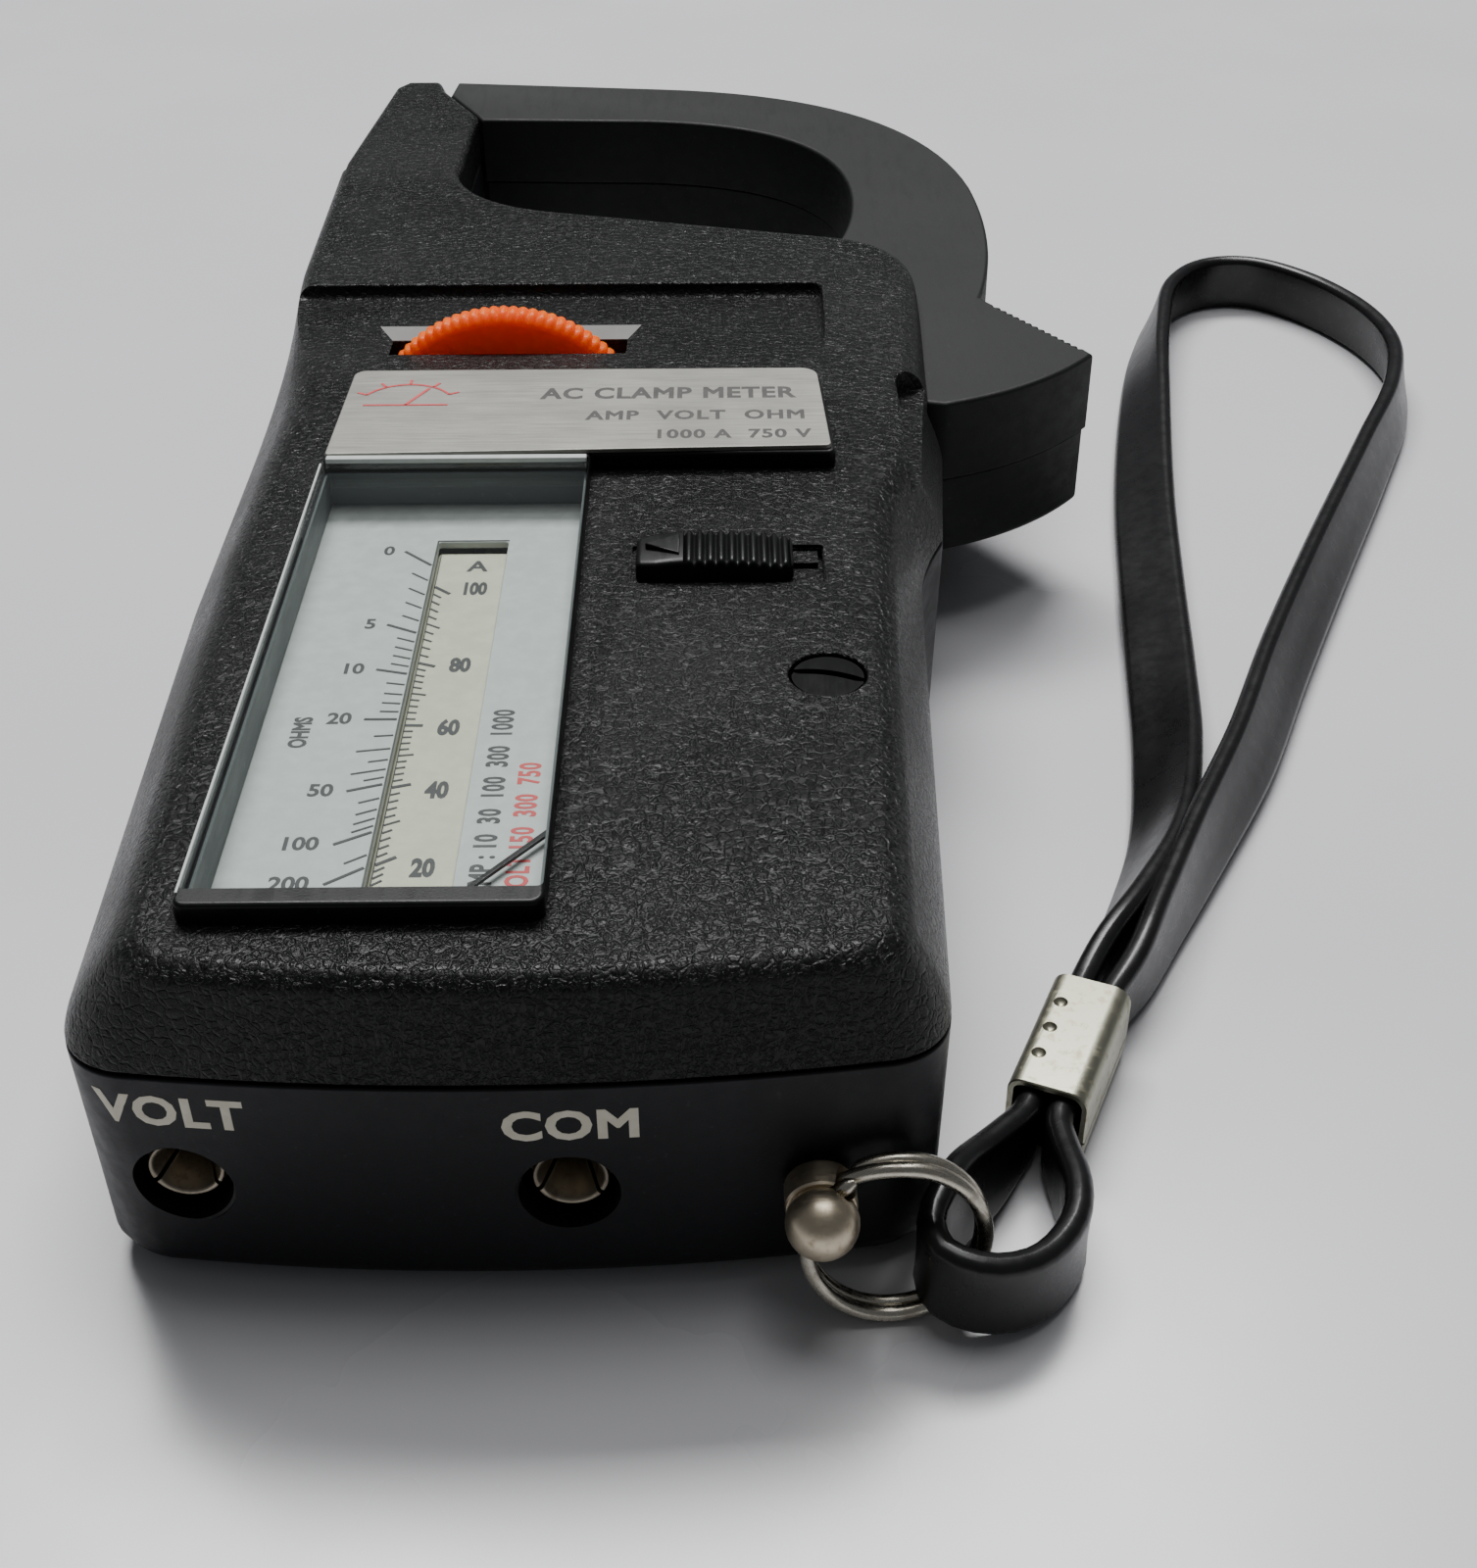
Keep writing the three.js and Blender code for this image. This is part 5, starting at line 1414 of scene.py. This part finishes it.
def make_needle():
    """A flat tapered needle with its hub and tail."""
    length = NEEDLE_LENGTH
    plan = [(-3, -0.4), (-1.2, -0.45), (1, -0.5), (length * 0.5, -0.28), (length - 3, -0.2), (length, -0.1),
            (length, 0.1), (length - 3, 0.2), (length * 0.5, 0.28), (1, 0.5), (-1.2, 0.45), (-3, 0.4)]
    needle = slab("needle_blade", plan, 0, 0.35, 0.06, 0.06, material=FRAME, steps=2)
    combine(needle, slab("hub", disc_plan(0, 0, 1.5, 32), -0.02, 0.55, 0.05, 0.12, steps=2), "UNION")
    turn = Matrix.Rotation(math.radians(NEEDLE_REST), 4, "Z")
    moved(needle, Matrix.Translation((*NEEDLE_PIVOT, NEEDLE_Z)) @ turn)
    finish_surface(needle)
    place(needle, "movement", "frame_plastic", "pointer")


make_thumbwheel()
make_slot_bevel()
make_slider()
make_screw()
make_needle()


# ---------------------------------------------------------------- jacks and case screws
def make_jack(name, x, y):
    """A split socket: a bright lip, a conical mouth and a dark bore."""
    r = JACK_R
    wall = [(r - 0.3, 0.0), (r - 0.12, 0.0), (r, 0.14), (r, 15.1), (r - 0.6, 15.1), (1.25, 12.5), (1.25, 3.4),
            (r - 0.5, 0.2), (r - 0.38, 0.05)]
    # The sleeve's darkened nickel is painted shade for the hole it sits back in.
    socket = lathe(f"{name}_sleeve", wall, 64, SHADED_NICKEL)
    for angle in (35, 155, 275):
        slit = block("slit", 0.9, 5, -0.22, 0.22, -1, 8)
        combine(socket, moved(slit, Matrix.Rotation(math.radians(angle), 4, "Z")))
    moved(socket, along_y(x, y + JACK_SET_BACK, JACK_Z))
    finish_surface(socket, 35)
    place(socket, "case", "nickel", f"jack_socket_{name.split('_')[1]}")


def make_case_screws():
    for i, (x, y) in enumerate(SCREW_PLACES):
        profile = [(0.9, 0.2), (2.4, 0.2), (2.7, 0.5), (2.7, 1.9), (1.4, 2.2), (1.4, 17)]
        screw = turned(f"case_screw_{i + 1}_steel", profile, 36, STEEL)
        for plan in ((-1.9, 1.9, -0.38, 0.38), (-0.38, 0.38, -1.9, 1.9)):
            combine(screw, block("cross", *plan, -1, 1.3))
        moved(screw, Matrix.Translation((x, y, 1.3)) @ Matrix.Rotation(math.radians(20 + 37 * i), 4, "Z"))
        finish_surface(screw, 30)
        place(screw, "case", "steel", f"case_screw_{i + 1}")


make_jack("jack_volt", *JACKS["volt"])
make_jack("jack_com", *JACKS["com"])
make_case_screws()


# ---------------------------------------------------------------- finishes of the CAD nodes that still show
def paint(material, *names):
    for name in names:
        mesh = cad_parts[name].data
        mesh.materials.clear()
        mesh.materials.append(material)


paint(STEEL, "selector_shaft", "detent_wheel", "coil_shaft", "lock_plate", "jaw_pivot_pin",
      "jaw_return_spring")
paint(BRASS, "switch_wiper", "detent_spring", "movement_base", "hair_spring", "movement_bridge",
      "lower_jewel", "upper_jewel", "pointer_counterweight")
paint(CREAM, "switch_rotor", "range_resistor_1", "range_resistor_2", "range_resistor_3", "range_resistor_4")
paint(CASE, "shaft_bearing_near", "shaft_bearing_far")
paint(BOARD, "switch_stator", "circuit_board")
paint(IRON, "magnet_yoke", "magnet_core", "moving_core", "fixed_core")
paint(COPPER, "moving_coil", "transformer_coil")
paint(NICKEL, "jack_nut_volt", "jack_nut_com")


# ---------------------------------------------------------------- table and light
def make_stage():
    size = 3000
    table = mesh_piece("table", [(-size, -size, 0), (size, -size, 0), (size, size, 0), (-size, size, 0)],
                       [(0, 1, 2, 3)], table_top())


def area_light(name, at_m, aim_m, size, watts, colour=(1, 1, 1)):
    data = bpy.data.lights.new(name, "AREA")
    data.shape = "RECTANGLE"
    data.size, data.size_y = size
    data.energy = watts
    data.color = colour
    lamp = bpy.data.objects.new(name, data)
    bpy.context.scene.collection.objects.link(lamp)
    lamp.location = at_m
    lamp.rotation_mode = "QUATERNION"
    lamp.rotation_quaternion = (Vector(aim_m) - Vector(at_m)).to_track_quat("-Z", "Y")


def make_world():
    world = bpy.data.worlds.new("studio")
    world.use_nodes = True
    world.node_tree.nodes["Background"].inputs["Color"].default_value = (0.86, 0.88, 0.92, 1)
    world.node_tree.nodes["Background"].inputs["Strength"].default_value = 0.13
    bpy.context.scene.world = world


make_stage()
make_world()
area_light("ceiling", (0.1, 0.3, 1.5), (0.02, 0.1, 0), (0.9, 0.6), 8)
area_light("window", (-0.05, 0.95, 1.5), (0.02, 0.1, 0), (1.2, 0.45), 42)
